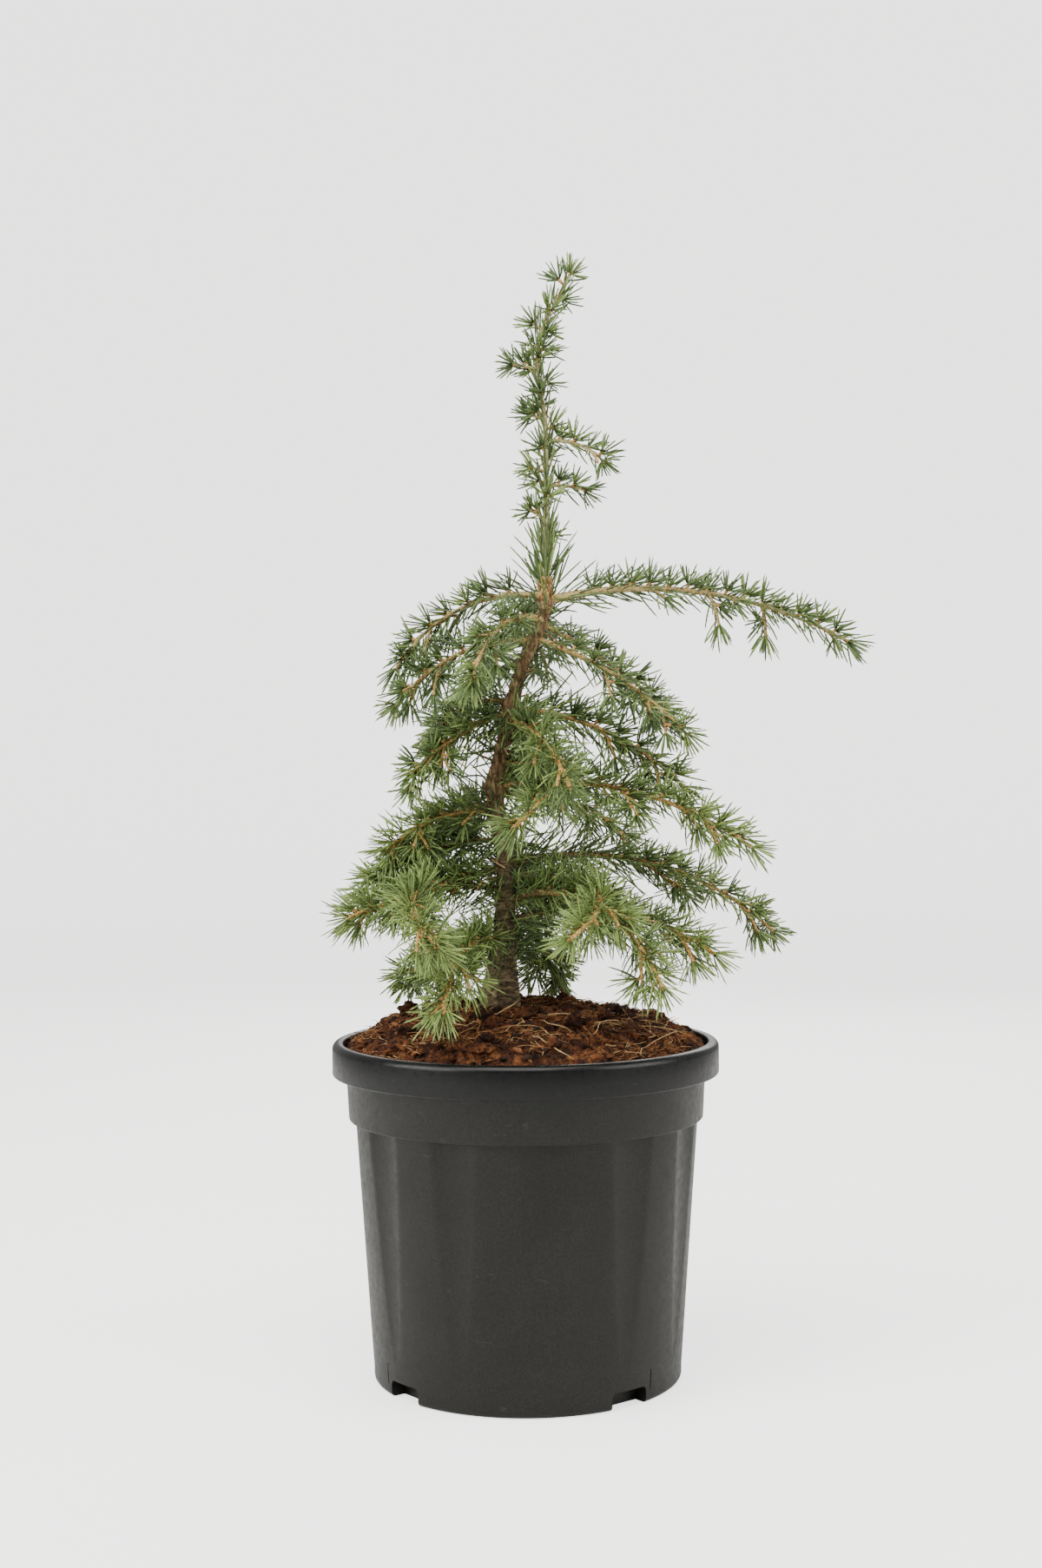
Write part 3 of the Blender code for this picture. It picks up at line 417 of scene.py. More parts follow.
def ramp_node(tree, value, stops):
    """A colour ramp from (position, colour) stops."""
    ramp = tree.nodes.new("ShaderNodeValToRGB")
    while len(ramp.color_ramp.elements) < len(stops):
        ramp.color_ramp.elements.new(0.5)
    for element, (position, colour) in zip(ramp.color_ramp.elements, stops):
        element.position = position
        element.color = (*colour, 1.0)
    tree.links.new(value, ramp.inputs["Fac"])
    return ramp.outputs["Color"]


def mix_node(tree, share, first, second, blend="MIX"):
    """Mixes two colours by a share, which is a number or a socket."""
    mix = tree.nodes.new("ShaderNodeMix")
    mix.data_type = "RGBA"
    mix.blend_type = blend
    factor, a, b = mix.inputs[0], mix.inputs[6], mix.inputs[7]
    for socket, source in ((factor, share), (a, first), (b, second)):
        if isinstance(source, bpy.types.NodeSocket):
            tree.links.new(source, socket)
        else:
            socket.default_value = source
    return mix.outputs[2]


def spread_node(tree, value, low, high, to_low=0.0, to_high=1.0):
    """Maps a value from one range to another, straight in between and level outside."""
    spread = tree.nodes.new("ShaderNodeMapRange")
    for name, number in (("From Min", low), ("From Max", high), ("To Min", to_low), ("To Max", to_high)):
        spread.inputs[name].default_value = number
    tree.links.new(value, spread.inputs["Value"])
    return spread.outputs["Result"]


def height_share(tree, low, high):
    """0 below a height and 1 above another, straight in between."""
    place = tree.nodes.new("ShaderNodeTexCoord")
    split = tree.nodes.new("ShaderNodeSeparateXYZ")
    tree.links.new(place.outputs["Object"], split.inputs["Vector"])
    return spread_node(tree, split.outputs["Z"], low, high)


def three_tones(tree, value, middle, tones):
    """A ramp through a dark, a middle and a light colour, 0.16 apart about the middle."""
    return ramp_node(tree, value, list(zip((middle - 0.16, middle, middle + 0.16), tones)))


def blotched(tree, shader, value, colour, dark, light):
    """Sets a base colour that varies with a value, from a darker to a lighter share of one colour."""
    darker, lighter = (tuple(channel * share for channel in colour) for share in (dark, light))
    varied = ramp_node(tree, value, [(0.35, darker), (0.65, lighter)])
    tree.links.new(varied, shader.inputs["Base Color"])


def add_bump(tree, shader, height, strength, distance):
    """Fine relief from a height socket."""
    bump = tree.nodes.new("ShaderNodeBump")
    bump.inputs["Strength"].default_value = strength
    bump.inputs["Distance"].default_value = distance
    tree.links.new(height, bump.inputs["Height"])
    tree.links.new(bump.outputs["Normal"], shader.inputs["Normal"])


# %% Bark materials
bark, tree, shader = new_material("trunk_bark", 0.85, 0.3)
flakes = noise_node(tree, 420, 6, (1, 1, 0.40), 0.7)
rings = noise_node(tree, 520, 5, (0.30, 0.30, 1), 0.5)
OLD_BARK = ((0.042, 0.030, 0.017), (0.150, 0.106, 0.056), (0.300, 0.225, 0.128))
YOUNG_BARK = ((0.066, 0.037, 0.017), (0.190, 0.116, 0.054), (0.400, 0.270, 0.140))
GREEN_TAN = ((0.230, 0.170, 0.070), (0.420, 0.340, 0.165), (0.600, 0.520, 0.300))
old_bark = three_tones(tree, rings, 0.52, OLD_BARK)
young_bark = three_tones(tree, flakes, 0.52, YOUNG_BARK)
bark_colour = mix_node(tree, height_share(tree, 0.325, 0.385), old_bark, young_bark)
green_tan = three_tones(tree, rings, 0.52, GREEN_TAN)
bark_colour = mix_node(tree, height_share(tree, 0.508, 0.522), bark_colour, green_tan)
tree.links.new(bark_colour, shader.inputs["Base Color"])
add_bump(tree, shader, flakes, 0.5, 0.0006)

limb_bark, tree, shader = new_material("bough_bark", 0.72, 0.3)
grain = noise_node(tree, 650, 5, (1, 1, 1), 0.3)
GOLDEN = ((0.270, 0.140, 0.034), (0.540, 0.320, 0.084), (0.760, 0.530, 0.185))
FRESH = ((0.230, 0.180, 0.065), (0.430, 0.350, 0.150), (0.620, 0.540, 0.280))
WEATHERED = ((0.040, 0.030, 0.014), (0.116, 0.088, 0.042), (0.240, 0.185, 0.095))
golden = three_tones(tree, grain, 0.50, GOLDEN)
fresh = three_tones(tree, grain, 0.50, FRESH)
golden = mix_node(tree, height_share(tree, 0.430, 0.540), golden, fresh)
weathered = three_tones(tree, grain, 0.52, WEATHERED)
age = tree.nodes.new("ShaderNodeAttribute")
age.attribute_name = "age"
tree.links.new(mix_node(tree, age.outputs["Fac"], golden, weathered), shader.inputs["Base Color"])
add_bump(tree, shader, grain, 0.4, 0.0003)

bud_scale, tree, shader = new_material("bud_scales", 0.55, 0.4)
papery = noise_node(tree, 900, 3)
bud_colour = ramp_node(tree, papery, [(0.35, (0.330, 0.145, 0.040)), (0.65, (0.680, 0.400, 0.150))])
tree.links.new(bud_colour, shader.inputs["Base Color"])
print("bark materials made")

# %% The trunk's mesh
TRUNK_SIDES = 72
TRUNK_RINGS = 620
RIDGE_PITCH = 0.0027
COLLAR = 0.0011

up = np.linspace(0.0, TRUNK_LINE[-1, 0], TRUNK_RINGS)
trunk_line = smooth_line(TRUNK_LINE, up)
rings, foot, head = tubes(trunk_line[None], trunk_radius(up)[None], TRUNK_SIDES, 0.0)
outwards = unit(rings - trunk_line[None, :, None])
height = up[None, :, None]
radius = trunk_radius(height)
coarse = waves(rings * (1, 1, 0.30), 0.0055, 3)
fine = waves(rings, 0.0015, 4)
around = np.arctan2(outwards[..., 1], outwards[..., 0])
broken = np.clip(0.6 + 0.9 * waves(rings * (1, 1, 1.5), 0.0060, 5), 0, 1.3)
ridges = broken * np.sin(2 * np.pi * height / RIDGE_PITCH + 1.1 * np.sin(around + 2.0) + 2.2 * coarse)
aged = 1 / (1 + np.exp((height - 0.120) / 0.020))
cracks = -np.clip(waves(rings * (1, 1, 0.12), 0.0030, 6) - 0.35, 0, 1)
relief = radius * (0.055 * coarse + 0.030 * fine) + 0.00026 * ridges * aged + 0.0007 * cracks * (1 - aged)
relief *= np.clip(radius / 0.0045, 0.3, 1)
for bough in BOUGHS:
    if not bough.name.startswith("leader"):
        off = np.angle(np.exp(1j * (around - math.radians(bough.heading))))
        relief += COLLAR * np.exp(-((off / 0.55) ** 2) - ((height - bough.up) / 0.0042) ** 2)
rings = rings + outwards * relief[..., None]
points, faces = skins(rings, foot, head)
trunk = new_piece("trunk_bark", points, faces, [bark])
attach(trunk, "root")
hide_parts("trunk")

# %% [markdown]
# ## Boughs, twigs and short shoots
#
# Each bough is one tapering limb that runs on as the stem of its foliage. The side twigs spring from it,
# and both carry short shoots, which is where a cedar gets its thick look. A shoot isn't smooth: every
# needle stands on a small peg. A wave that winds round the shoot as it goes stands for those pegs. Wood
# darkens with age, so each point also carries its age as an attribute, which the bark's colour reads.

# %% Bough and twig meshes
BOUGH_SIDES = 10
TWIG_SIDES = 6
TWIG_RINGS = 16
TWIG_RADII = (0.00118, 0.00092)
PEG_PITCH = 0.0019
SHOOT_SIDES = 5
SHOOT_STEPS = 6
SHOOT_RADII = (0.00095, 0.00080)
BUD_RADII = (0.00125, 0.00110, 0.00095)
STOUT = 0.00108
STOUTEST = 0.00132
YOUNG = 0.12

# boughs at the front and low at the left, with thicker shoots and longer needles than the others
VIGOROUS = ("middle_front", "middle_front_left", "left", "low_right_front", "lowest_right", "low_front",
            "low_left_front", "low_front_left", "lowest_left")

# boughs whose side twigs carry no short shoots
SPARSE = ("top_", "upper_", "middle_front", "middle_right", "right_back")

# how thick the foliage is: shoots and rosettes stand closer together on a bough with a higher number
LUSH = {
    "middle_front": 1.05, "middle_front_left": 1.0, "middle_left_front": 1.25, "middle_left": 1.25,
    "middle_back": 0.95, "middle_right": 0.9, "right_back": 0.65, "left": 1.6, "left_back": 1.4,
    "low_right": 1.1, "low_right_front": 1.2, "low_front": 1.1, "low_left": 1.7, "low_left_front": 1.55,
    "low_front_left": 1.45, "low_back": 1.4, "lowest_left": 1.35, "lowest_right": 1.2,
    "lowest_left_back": 1.5, "lowest_right_back": 1.2, "top_front": 0.85, "top_right": 1.15,
    "upper_right": 0.75, "upper_right_back": 0.70, "upper_left": 0.95, "upper_back": 0.85,
}


def pegged(lines, radii, sides, height):
    """Tubes whose radius swells and shrinks in a spiral, like the pegs that needles leave on a shoot."""
    rings, feet, heads = tubes(lines, radii, sides)
    steps = np.linalg.norm(np.diff(lines, axis=1), axis=2)
    travel = np.concatenate([np.zeros((len(lines), 1)), np.cumsum(steps, axis=1)], axis=1)[..., None]
    turn = np.linspace(0, 2 * np.pi, sides, endpoint=False)
    peg = np.sin(2 * np.pi * travel / PEG_PITCH + 3 * turn) + 0.6 * waves(rings, 0.0025, 8)
    outwards = unit(rings - lines[:, :, None])
    return rings + outwards * (height * radii[..., None] * peg)[..., None], feet, heads


def sides_of(ahead):
    """Unit vectors to the left or right of a shoot, level, and above it, and how steeply it falls, 0 to 1."""
    level = unit(np.cross(ahead, [0, 0, 1.0]) + (1e-6, 0, 0))
    return level, np.cross(level, ahead), np.clip(-ahead[..., 2], 0, 1)


def short_shoots(line, pitch, rng, start=0.004):
    """Shoots of 5 to 16 mm along a twig, in turn to its left and right, raised a little, that nod."""
    points, ahead, share = spaced(line, pitch, start, 0.004)
    level, above, _ = sides_of(ahead)
    count = len(points)
    side = np.where(np.arange(count) % 2, 1.0, -1.0)
    raised = np.radians(rng.uniform(-35, 60, count))
    out = level * (side * np.cos(raised))[:, None] + above * np.sin(raised)[:, None]
    way = unit(out + ahead * rng.uniform(0.5, 1.0, (count, 1)))
    length = rng.uniform(0.007, 0.014, count) * (1.15 - 0.5 * share)
    nod = ahead * 0.2 - np.array([0, 0, 0.22])
    t = np.linspace(0, 1, SHOOT_STEPS)[None, :, None]
    return points[:, None] + length[:, None, None] * (way[:, None] * t + nod[:, None] * t**2)


def bud(line, radius):
    """A plump bud that ends a shoot: a short tube whose radius swells and then closes to a point."""
    ahead = unit(line[-1] - line[-2])
    steps = np.linspace(-0.6, 1.9, 5)[:, None] * radius
    return line[-1] + ahead * steps, radius * np.array([0.75, 1.05, 1.0, 0.72, 0.3])


def ringed_ages(ages, sides):
    """An age for each point of a skin from one for each ring: its rings' points, then its two poles."""
    ages = np.atleast_2d(ages)
    return np.concatenate([np.repeat(ages, sides, axis=1), ages[:, :1], ages[:, -1:]], axis=1).ravel()


limb_parts = []
limb_ages = []
twig_parts = []
twig_ages = []
bud_lines = []
bud_radii = []
grown = []
for owner, bough in enumerate(BOUGHS, start=1):
    rng = np.random.default_rng([SEED, owner])
    is_tip = bough.name == "leader_tip"
    on_leader = bough.name.startswith("leader")
    vigour = 1.0 if bough.name in VIGOROUS else 0.0
    count = max(8, int(bough.length / 0.0011))
    shares = np.linspace(0.0 if is_tip else 0.01, 1.0, count)
    line = bough_line(bough, shares)
    radii = bough_radius(bough, shares)
    if is_tip:
        radii = np.linspace(LEADER_TIP_RADIUS, TIP_RADIUS, count)
    if not on_leader:
        radii = np.maximum(radii, STOUT + (STOUTEST - STOUT) * vigour)
    part = skins(*pegged(line[None], radii[None], BOUGH_SIDES, 0.10))
    oldest = np.clip(1.2 - bough.up / 0.24, YOUNG, 1)
    young = YOUNG + 0.32 * (1 - vigour) * (not on_leader)
    age = young + (oldest - young) * np.clip(1.25 - 2.0 * shares, 0, 1)
    (twig_parts if on_leader else limb_parts).append(part)
    (twig_ages if on_leader else limb_ages).append(ringed_ages(age, BOUGH_SIDES))
    first_twig = BARE_SHARE if bough.limb else FIRST_TWIG_SHARE
    twigs = [refined(twig, TWIG_RINGS) for twig in twig_lines(bough, first_twig, rng)]
    lush = LUSH.get(bough.name, 1.0)
    shoots = []
    if not on_leader:
        start = bough.length * (0.16 if bough.limb else 0.10)
        shoots.append(short_shoots(line, 0.0290 / lush**1.5, rng, start))
        if not bough.name.startswith(SPARSE):
            shoots += [short_shoots(twig, 0.0190 / lush, rng) for twig in twigs]
    for twig in twigs:
        twig_radii = np.linspace(*TWIG_RADII, TWIG_RINGS) * (1 + 0.12 * vigour)
        twig_parts.append(skins(*pegged(twig[None], twig_radii[None], TWIG_SIDES, 0.12)))
        twig_ages.append(ringed_ages(np.full(TWIG_RINGS, young), TWIG_SIDES))
    shoots = np.concatenate(shoots) if shoots else np.zeros((0, SHOOT_STEPS, 3))
    if len(shoots):
        shoot_radii = np.linspace(*SHOOT_RADII, SHOOT_STEPS) * (1 + 0.1 * vigour)
        twig_parts.append(skins(*tubes(shoots, np.tile(shoot_radii, (len(shoots), 1)), SHOOT_SIDES)))
        twig_ages.append(ringed_ages(np.full((len(shoots), SHOOT_STEPS), young), SHOOT_SIDES))
    tips = [(line, BUD_RADII[0])] + [(twig, BUD_RADII[1]) for twig in twigs]
    for tip, radius in tips + [(shoot, BUD_RADII[2]) for shoot in shoots]:
        along, swell = bud(tip, radius * (1 + 0.3 * vigour))
        bud_lines.append(along)
        bud_radii.append(swell)
    grown.append((bough, line, twigs, shoots, lush, vigour, rng))
twig_count, shoot_count = (sum(len(parts[k]) for parts in grown) for k in (2, 3))
print(len(limb_parts), "limbs,", twig_count, "twigs,", shoot_count, "short shoots")

# %% Dry twigs on the trunk
DRY_TWIGS = 44

rng = np.random.default_rng([SEED, 90])
dry_up = rng.uniform(0.030, 0.250, DRY_TWIGS)
dry_heading = GOLDEN_TURN * np.arange(DRY_TWIGS)
dry_way = directions(dry_heading, rng.uniform(-15, 55, DRY_TWIGS))
dry_length = rng.uniform(0.012, 0.036, DRY_TWIGS)[:, None, None]
t = np.linspace(0, 1, 8)[None, :, None]
crooked = rng.normal(0, 0.12, (DRY_TWIGS, 1, 3)) * np.sin(np.pi * t)
dry_lines = dry_way[:, None] * t - np.array([0, 0, 0.35]) * t**2 + crooked
dry_lines = smooth_line(TRUNK_LINE, dry_up)[:, None] + dry_lines * dry_length
dry_radii = np.tile(np.linspace(0.00085, 0.00045, 8), (DRY_TWIGS, 1))
twig_parts.append(skins(*pegged(dry_lines, dry_radii, 5, 0.15)))
twig_ages.append(ringed_ages(np.full((DRY_TWIGS, 8), 0.85), 5))
print(DRY_TWIGS, "dry twigs")

# %% [markdown]
# ## Needles
#
# A cedar carries its needles in two ways. Older shoots have short spurs, each ending in a rosette of a dozen
# to twenty needles that spread like a star. New shoots carry single needles in a spiral. They are long
# near the trunk, and get shorter and stand out towards the tip. A particle system would be lost on export,
# so each needle is a real mesh: a slim three-sided blade, as wide near its tip as in its middle, with a
# bend, of 18 or 24 faces.

# %% Sprays of needles
NEEDLE_SIDES = 3
NEEDLE_WIDTH = 0.00128
VIGOROUS_WIDTH = 0.00106
SPUR_PITCH = 0.0140
SPUR_STEPS = np.array([0, 0.45, 0.80, 1.08])[:, None]
SHOOT_PITCH = 0.00150

# travel along the needle and share of its width, at each ring
SHORT_NEEDLE = np.array([(0.0, 0.55), (0.42, 1.0), (0.86, 0.85)])
LONG_NEEDLE = np.array([(0.0, 0.50), (0.30, 1.0), (0.62, 1.0), (0.90, 0.78)])


def needle_batch(form, roots, ahead, bends, lengths, widths):
    """Needles as thin spikes: each runs ahead from its root and leaves its line by the square of the way."""
    t = form[None, :, :1]
    lines = roots[:, None] + lengths[:, None, None] * (ahead[:, None] * t + bends[:, None] * t**2)
    rings, feet, _ = tubes(lines, widths[:, None] / 2 * form[:, 1], NEEDLE_SIDES, 0.0)
    tips = roots + lengths[:, None] * (ahead + bends)
    return skins(rings, feet, tips)


def across(axes):
    """Two unit vectors at right angles to each axis and to each other."""
    spare = np.where(np.abs(axes[:, 2:]) < 0.9, [[0, 0, 1.0]], [[1.0, 0, 0]])
    first = unit(np.cross(axes, spare))
    return first, np.cross(axes, first)


def rosette(centre, axis, count, length, rng, widest=64.0):
    """Roots, directions, bends and lengths of needles that spread like a star about an axis."""
    lean = np.radians(widest * np.sqrt(rng.uniform(0.02, 1.0, count)))
    turn = np.radians(GOLDEN_TURN * np.arange(count) + rng.uniform(-14, 14, count))
    axes = np.repeat(axis[None], count, 0)
    first, second = across(axes)
    out = first * np.cos(turn)[:, None] + second * np.sin(turn)[:, None]
    ahead = axes * np.cos(lean)[:, None] + out * np.sin(lean)[:, None]
    bends = axes * rng.uniform(0.05, 0.34, (count, 1)) + rng.normal(0, 0.06, (count, 3))
    return centre + out * 0.0007, ahead, bends, length * rng.uniform(0.78, 1.12, count)


def shoot_needles(line, pitch, near, rng, foot_lean, tip_lean, foot_length, tip_length):
    """Single needles in a spiral along a shoot, bent forward.

    Lean and length go from those at the foot to those at the tip as exp(-share / near) dies away. Where
    the shoot falls steeply its upper side, which is then its outer side, is left nearly bare.
    """
    points, ahead, share = spaced(line, pitch)
    count = len(points)
    fade = np.exp(-share / near)
    first, second = across(ahead)
    turn = np.radians(GOLDEN_TURN * np.arange(count) + rng.uniform(-20, 20, count))
    out = first * np.cos(turn)[:, None] + second * np.sin(turn)[:, None]
    lean = rng.uniform(*foot_lean, count) * fade + rng.uniform(*tip_lean, count) * (1 - fade)
    lean = np.radians(lean)[:, None]
    way = ahead * np.cos(lean) + out * np.sin(lean)
    bends = ahead * rng.uniform(0.10, 0.42, (count, 1)) + rng.normal(0, 0.06, (count, 3))
    lengths = (foot_length * fade + tip_length * (1 - fade)) * rng.uniform(0.75, 1.15, count)
    _, above, falls = sides_of(ahead)
    kept = ((out * above).sum(-1) < 0.55) | (rng.uniform(0, 1, count) > 2.2 * (falls - 0.40))
    return (points + out * 0.0009)[kept], way[kept], bends[kept], lengths[kept]


needle_faces = {len(form): len(skin_faces(len(form), NEEDLE_SIDES)) for form in (SHORT_NEEDLE, LONG_NEEDLE)}
print("faces of a needle with 3 or 4 rings:", needle_faces)

# %% Zones and shades of the sprays
ZONES = {
    "leader": ("leader_",),
    "top": ("top_",),
    "upper": ("upper_",),
    "middle_back": ("middle_back", "middle_left"),
    "middle_front": ("middle_",),
    "side": ("right", "left"),
    "low_right": ("low_right",),
    "low_left": ("low_left", "low_front_left"),
    "low_middle": ("low_",),
    "lowest": ("lowest_",),
}
TONES = 5


def zone_of(name):
    """The first zone that has a prefix which the bough's name starts with."""
    return next(zone for zone, starts in ZONES.items() if name.startswith(starts))


def mound_crown(radius):
    """The mound's height without lumps: level in the middle, then falling ever faster to the pot."""
    share = np.clip((radius - MOUND_FLAT) / (MOUTH_RADIUS - MOUND_FLAT), 0, 1)
    return SOIL_TOP - (SOIL_TOP - SOIL_EDGE) * share**MOUND_POWER


def ground_height(points):
    """The height of the soil's mound with its lumps, or of the pot's rim, under each point."""
    radius = np.hypot(points[..., 0], points[..., 1])
    return np.where(radius < RIM_CLEARANCE, np.maximum(mound_crown(radius) + 0.002, POT_HEIGHT), 0.0)


trunk_heights = np.linspace(0, TRUNK_LINE[-1, 0], 200)
trunk_places = smooth_line(TRUNK_LINE, trunk_heights)


def clear_of_trunk(points):
    """Whether points stand off the trunk's bark."""
    up = np.clip(points[..., 2] - GROUND, 0, TRUNK_LINE[-1, 0])
    x, y = (np.interp(up, trunk_heights, trunk_places[:, k]) for k in range(2))
    return np.hypot(points[..., 0] - x, points[..., 1] - y) > trunk_radius(up) + 0.0006


sprays = {zone: {"short": [], "long": []} for zone in ZONES}
spur_lines = []


# painted light and shade by zone: how much lighter or darker the greens of a zone are painted than its place
# alone gives, lighter low in the crown and at the sides, where shade falls, darker on top, where the light
# falls
PAINTED_LIGHT_BY_ZONE = {"top": -0.13, "upper": -0.11, "side": 0.18, "low_left": 0.15, "low_right": 0.08,
           "low_middle": 0.16, "middle_back": 0.10, "lowest": 0.24}


def tone_with_painted_light(zone, point, rng):
    """A spray's green, 0 to 4: painted light to the front and outside in the crown, painted shade deep inside
    it, and a tone that differs by chance.
    """
    # painted light: lighter towards the front, where the lamps are, and towards the crown's outside; painted
    # shade deep inside the crown; the zone adds its own painted light or shade, and chance a real difference
    # of tone
    forward = -point[1] / 0.12
    outside = min(math.hypot(point[0] + 0.010, point[1]) / 0.14, 0.7 if zone == "top" else 1.0)
    fresh = 0.26 + PAINTED_LIGHT_BY_ZONE.get(zone, 0.0) + 0.15 * forward + 0.24 * outside + rng.normal(0, 0.28)
    return int(np.clip(TONES * fresh, 0, TONES - 1))


# the width of the needles that are being added
needle_width = NEEDLE_WIDTH


def add_star(zone, needles, rng):
    """Adds a rosette in three parts, each with its own shade, so that its needles stand out."""
    for part in range(3):
        add_spray(zone, "short", [values[part::3] for values in needles], rng)


def add_spray(zone, form, needles, rng):
    """Keeps the needles that touch neither the soil nor the trunk, and deals them a shade of green."""
    roots, ahead, bends, lengths = needles
    tips = roots + lengths[:, None] * (ahead + bends)
    middles = roots + lengths[:, None] * (ahead * 0.5 + bends * 0.25)
    # the spray's green carries painted light and shade from its place, as well as a tone dealt by chance
    tone = tone_with_painted_light(zone, roots.mean(0), rng) if len(roots) else 0
    free = (tips[:, 2] > ground_height(tips) + 0.001) & clear_of_trunk(tips) & clear_of_trunk(middles)
    if free.any():
        widths = needle_width * rng.uniform(0.85, 1.12, free.sum())
        sprays[zone][form].append((roots[free], ahead[free], bends[free], lengths[free], widths, tone))


def add_singles(zone, needles, rng, group=2):
    """Adds single needles in short groups, each with its own shade."""
    for start in range(0, len(needles[0]), group):
        add_spray(zone, "long", [values[start:start + group] for values in needles], rng)


def add_rosettes(zone, line, pitch, start, length, rng):
    """Rosettes on spurs along a shoot: on top where it runs level, and beside it where it falls."""
    points, ahead, share = spaced(line, pitch, start, 0.003)
    level, above, falls = sides_of(ahead)
    for k in range(len(points)):
        raised = math.radians(74 * (1 - falls[k] ** 1.7) + rng.uniform(-34, 30))
        side = 1 if k % 2 else -1
        out = level[k] * side * math.cos(raised) + above[k] * math.sin(raised)
        axis = unit(out + 0.38 * ahead[k])
        centre = points[k] + axis * rng.uniform(0.0026, 0.0050)
        spur_lines.append(points[k] + (centre - points[k]) * SPUR_STEPS)
        count = int(rng.integers(13, 18))
        add_star(zone, rosette(centre, axis, count, length * rng.uniform(0.86, 1.12), rng), rng)


def add_tuft(zone, line, count, length, rng, widest=58.0):
    """The rosette that ends a shoot."""
    ahead = unit(line[-1] - line[-2])
    add_star(zone, rosette(line[-1] + ahead * 0.0004, ahead, count, length, rng, widest), rng)


print("zones:", ", ".join(ZONES))

# %% Dress the boughs
# how far the needles near the trunk lean from the shoot, in degrees, in each zone and elsewhere
FOOT_LEAN = {"top": (16, 56), "upper": (18, 54)}
ANY_FOOT_LEAN = (24, 62)
TIP_LEAN = (40, 64)
# old needles that still stand on the inner part of the middle and low boughs
OLD_SHARE = 0.55
OLD_PITCH = 0.00130
OLD_LEAN = (38, 82)
OLD_LENGTH = 0.0265
# the share of a bough where its rosettes begin: far out on the one that keeps its long old needles
FIRST_ROSETTE = {"low_right": 0.40}
ANY_FIRST_ROSETTE = 0.08

for bough, line, twigs, shoots, lush, vigour, rng in grown:
    zone = zone_of(bough.name)
    if bough.name.startswith("leader"):
        add_singles(zone, shoot_needles(line, 0.0018, 0.2, rng, (25, 45), (40, 60), 0.012, 0.012), rng)
        add_rosettes(zone, line, 0.0095, 0.003, 0.0118, rng)
        add_tuft(zone, line, 22, 0.0125, rng, 84.0)
        continue
    long = 1 + 0.14 * vigour - 0.04 * (zone == "upper")
    needle_width = VIGOROUS_WIDTH if vigour else NEEDLE_WIDTH
    foot_lean = FOOT_LEAN.get(zone, ANY_FOOT_LEAN)
    pitch = SHOOT_PITCH / lush**0.4
    singles = shoot_needles(line, pitch, 0.18, rng, foot_lean, TIP_LEAN, 0.0285, 0.0155 * long)
    add_singles(zone, singles, rng)
    if zone not in FOOT_LEAN:
        old_part = line[:int(OLD_SHARE * len(line))]
        old = shoot_needles(old_part, OLD_PITCH, 9.0, rng, OLD_LEAN, OLD_LEAN, OLD_LENGTH, OLD_LENGTH)
        add_singles(zone, old, rng)
    first = FIRST_ROSETTE.get(bough.name, ANY_FIRST_ROSETTE) * bough.length + 0.006
    add_rosettes(zone, line, SPUR_PITCH / lush**0.9, first, 0.0138 * long, rng)
    add_tuft(zone, line, 17, 0.0150 * long, rng)
    for twig in twigs:
        singles = shoot_needles(twig, 0.00180, 0.2, rng, (30, 52), TIP_LEAN, 0.0165 * long, 0.0148 * long)
        add_singles(zone, singles, rng)
        add_rosettes(zone, twig, SPUR_PITCH / lush**0.8, 0.003, 0.0132 * long, rng)
        add_tuft(zone, twig, 15, 0.0142 * long, rng)
    for shoot in shoots:
        singles = shoot_needles(shoot, 0.0022, 0.3, rng, (35, 55), (40, 62), 0.0128, 0.0122 * long)
        add_singles(zone, singles, rng)
        add_tuft(zone, shoot, 13, 0.0134 * long, rng, 66.0)
print("sprays:", {zone: sum(map(len, found.values())) for zone, found in sprays.items()})

# %% [markdown]
# The trunk carries needles of its own: a crown of long ones stands up round the leader's foot, single ones
# hug the leader all the way up, with spurs between them, and a few old ones are left between the whorls.

# %% Needles on the leader and the trunk
LEADER_FAN = 60
FAN_FOOT = 0.270
TRUNK_NEEDLES = 420
# height above the soil and heading of spurs that stand on the leader itself
LEADER_SPURS = ((0.3804, 10), (0.4307, -20), (0.4176, 160), (0.4020, -100), (0.3660, -125), (0.3340, -75),
                (0.3950, 100), (0.3600, 80), (0.3100, 60), (0.4340, 110), (0.4560, -80), (0.4640, 20),
                (0.4100, 20), (0.3900, -160), (0.3450, 175), (0.4250, -70))


def upright_needles(up, heading, slope, length, droop, rng):
    """Needles on the upright stem, at heights and headings, at slopes above level, bent by droop."""
    count = len(up)
    roots = smooth_line(TRUNK_LINE, up)
    out = directions(heading, np.zeros(count))
    way = directions(heading, slope)
    bends = -droop[:, None] * np.array([0, 0, 1.0]) + rng.normal(0, 0.04, (count, 3))
    return roots + out * (trunk_radius(up) - 0.0002)[:, None], way, bends, length


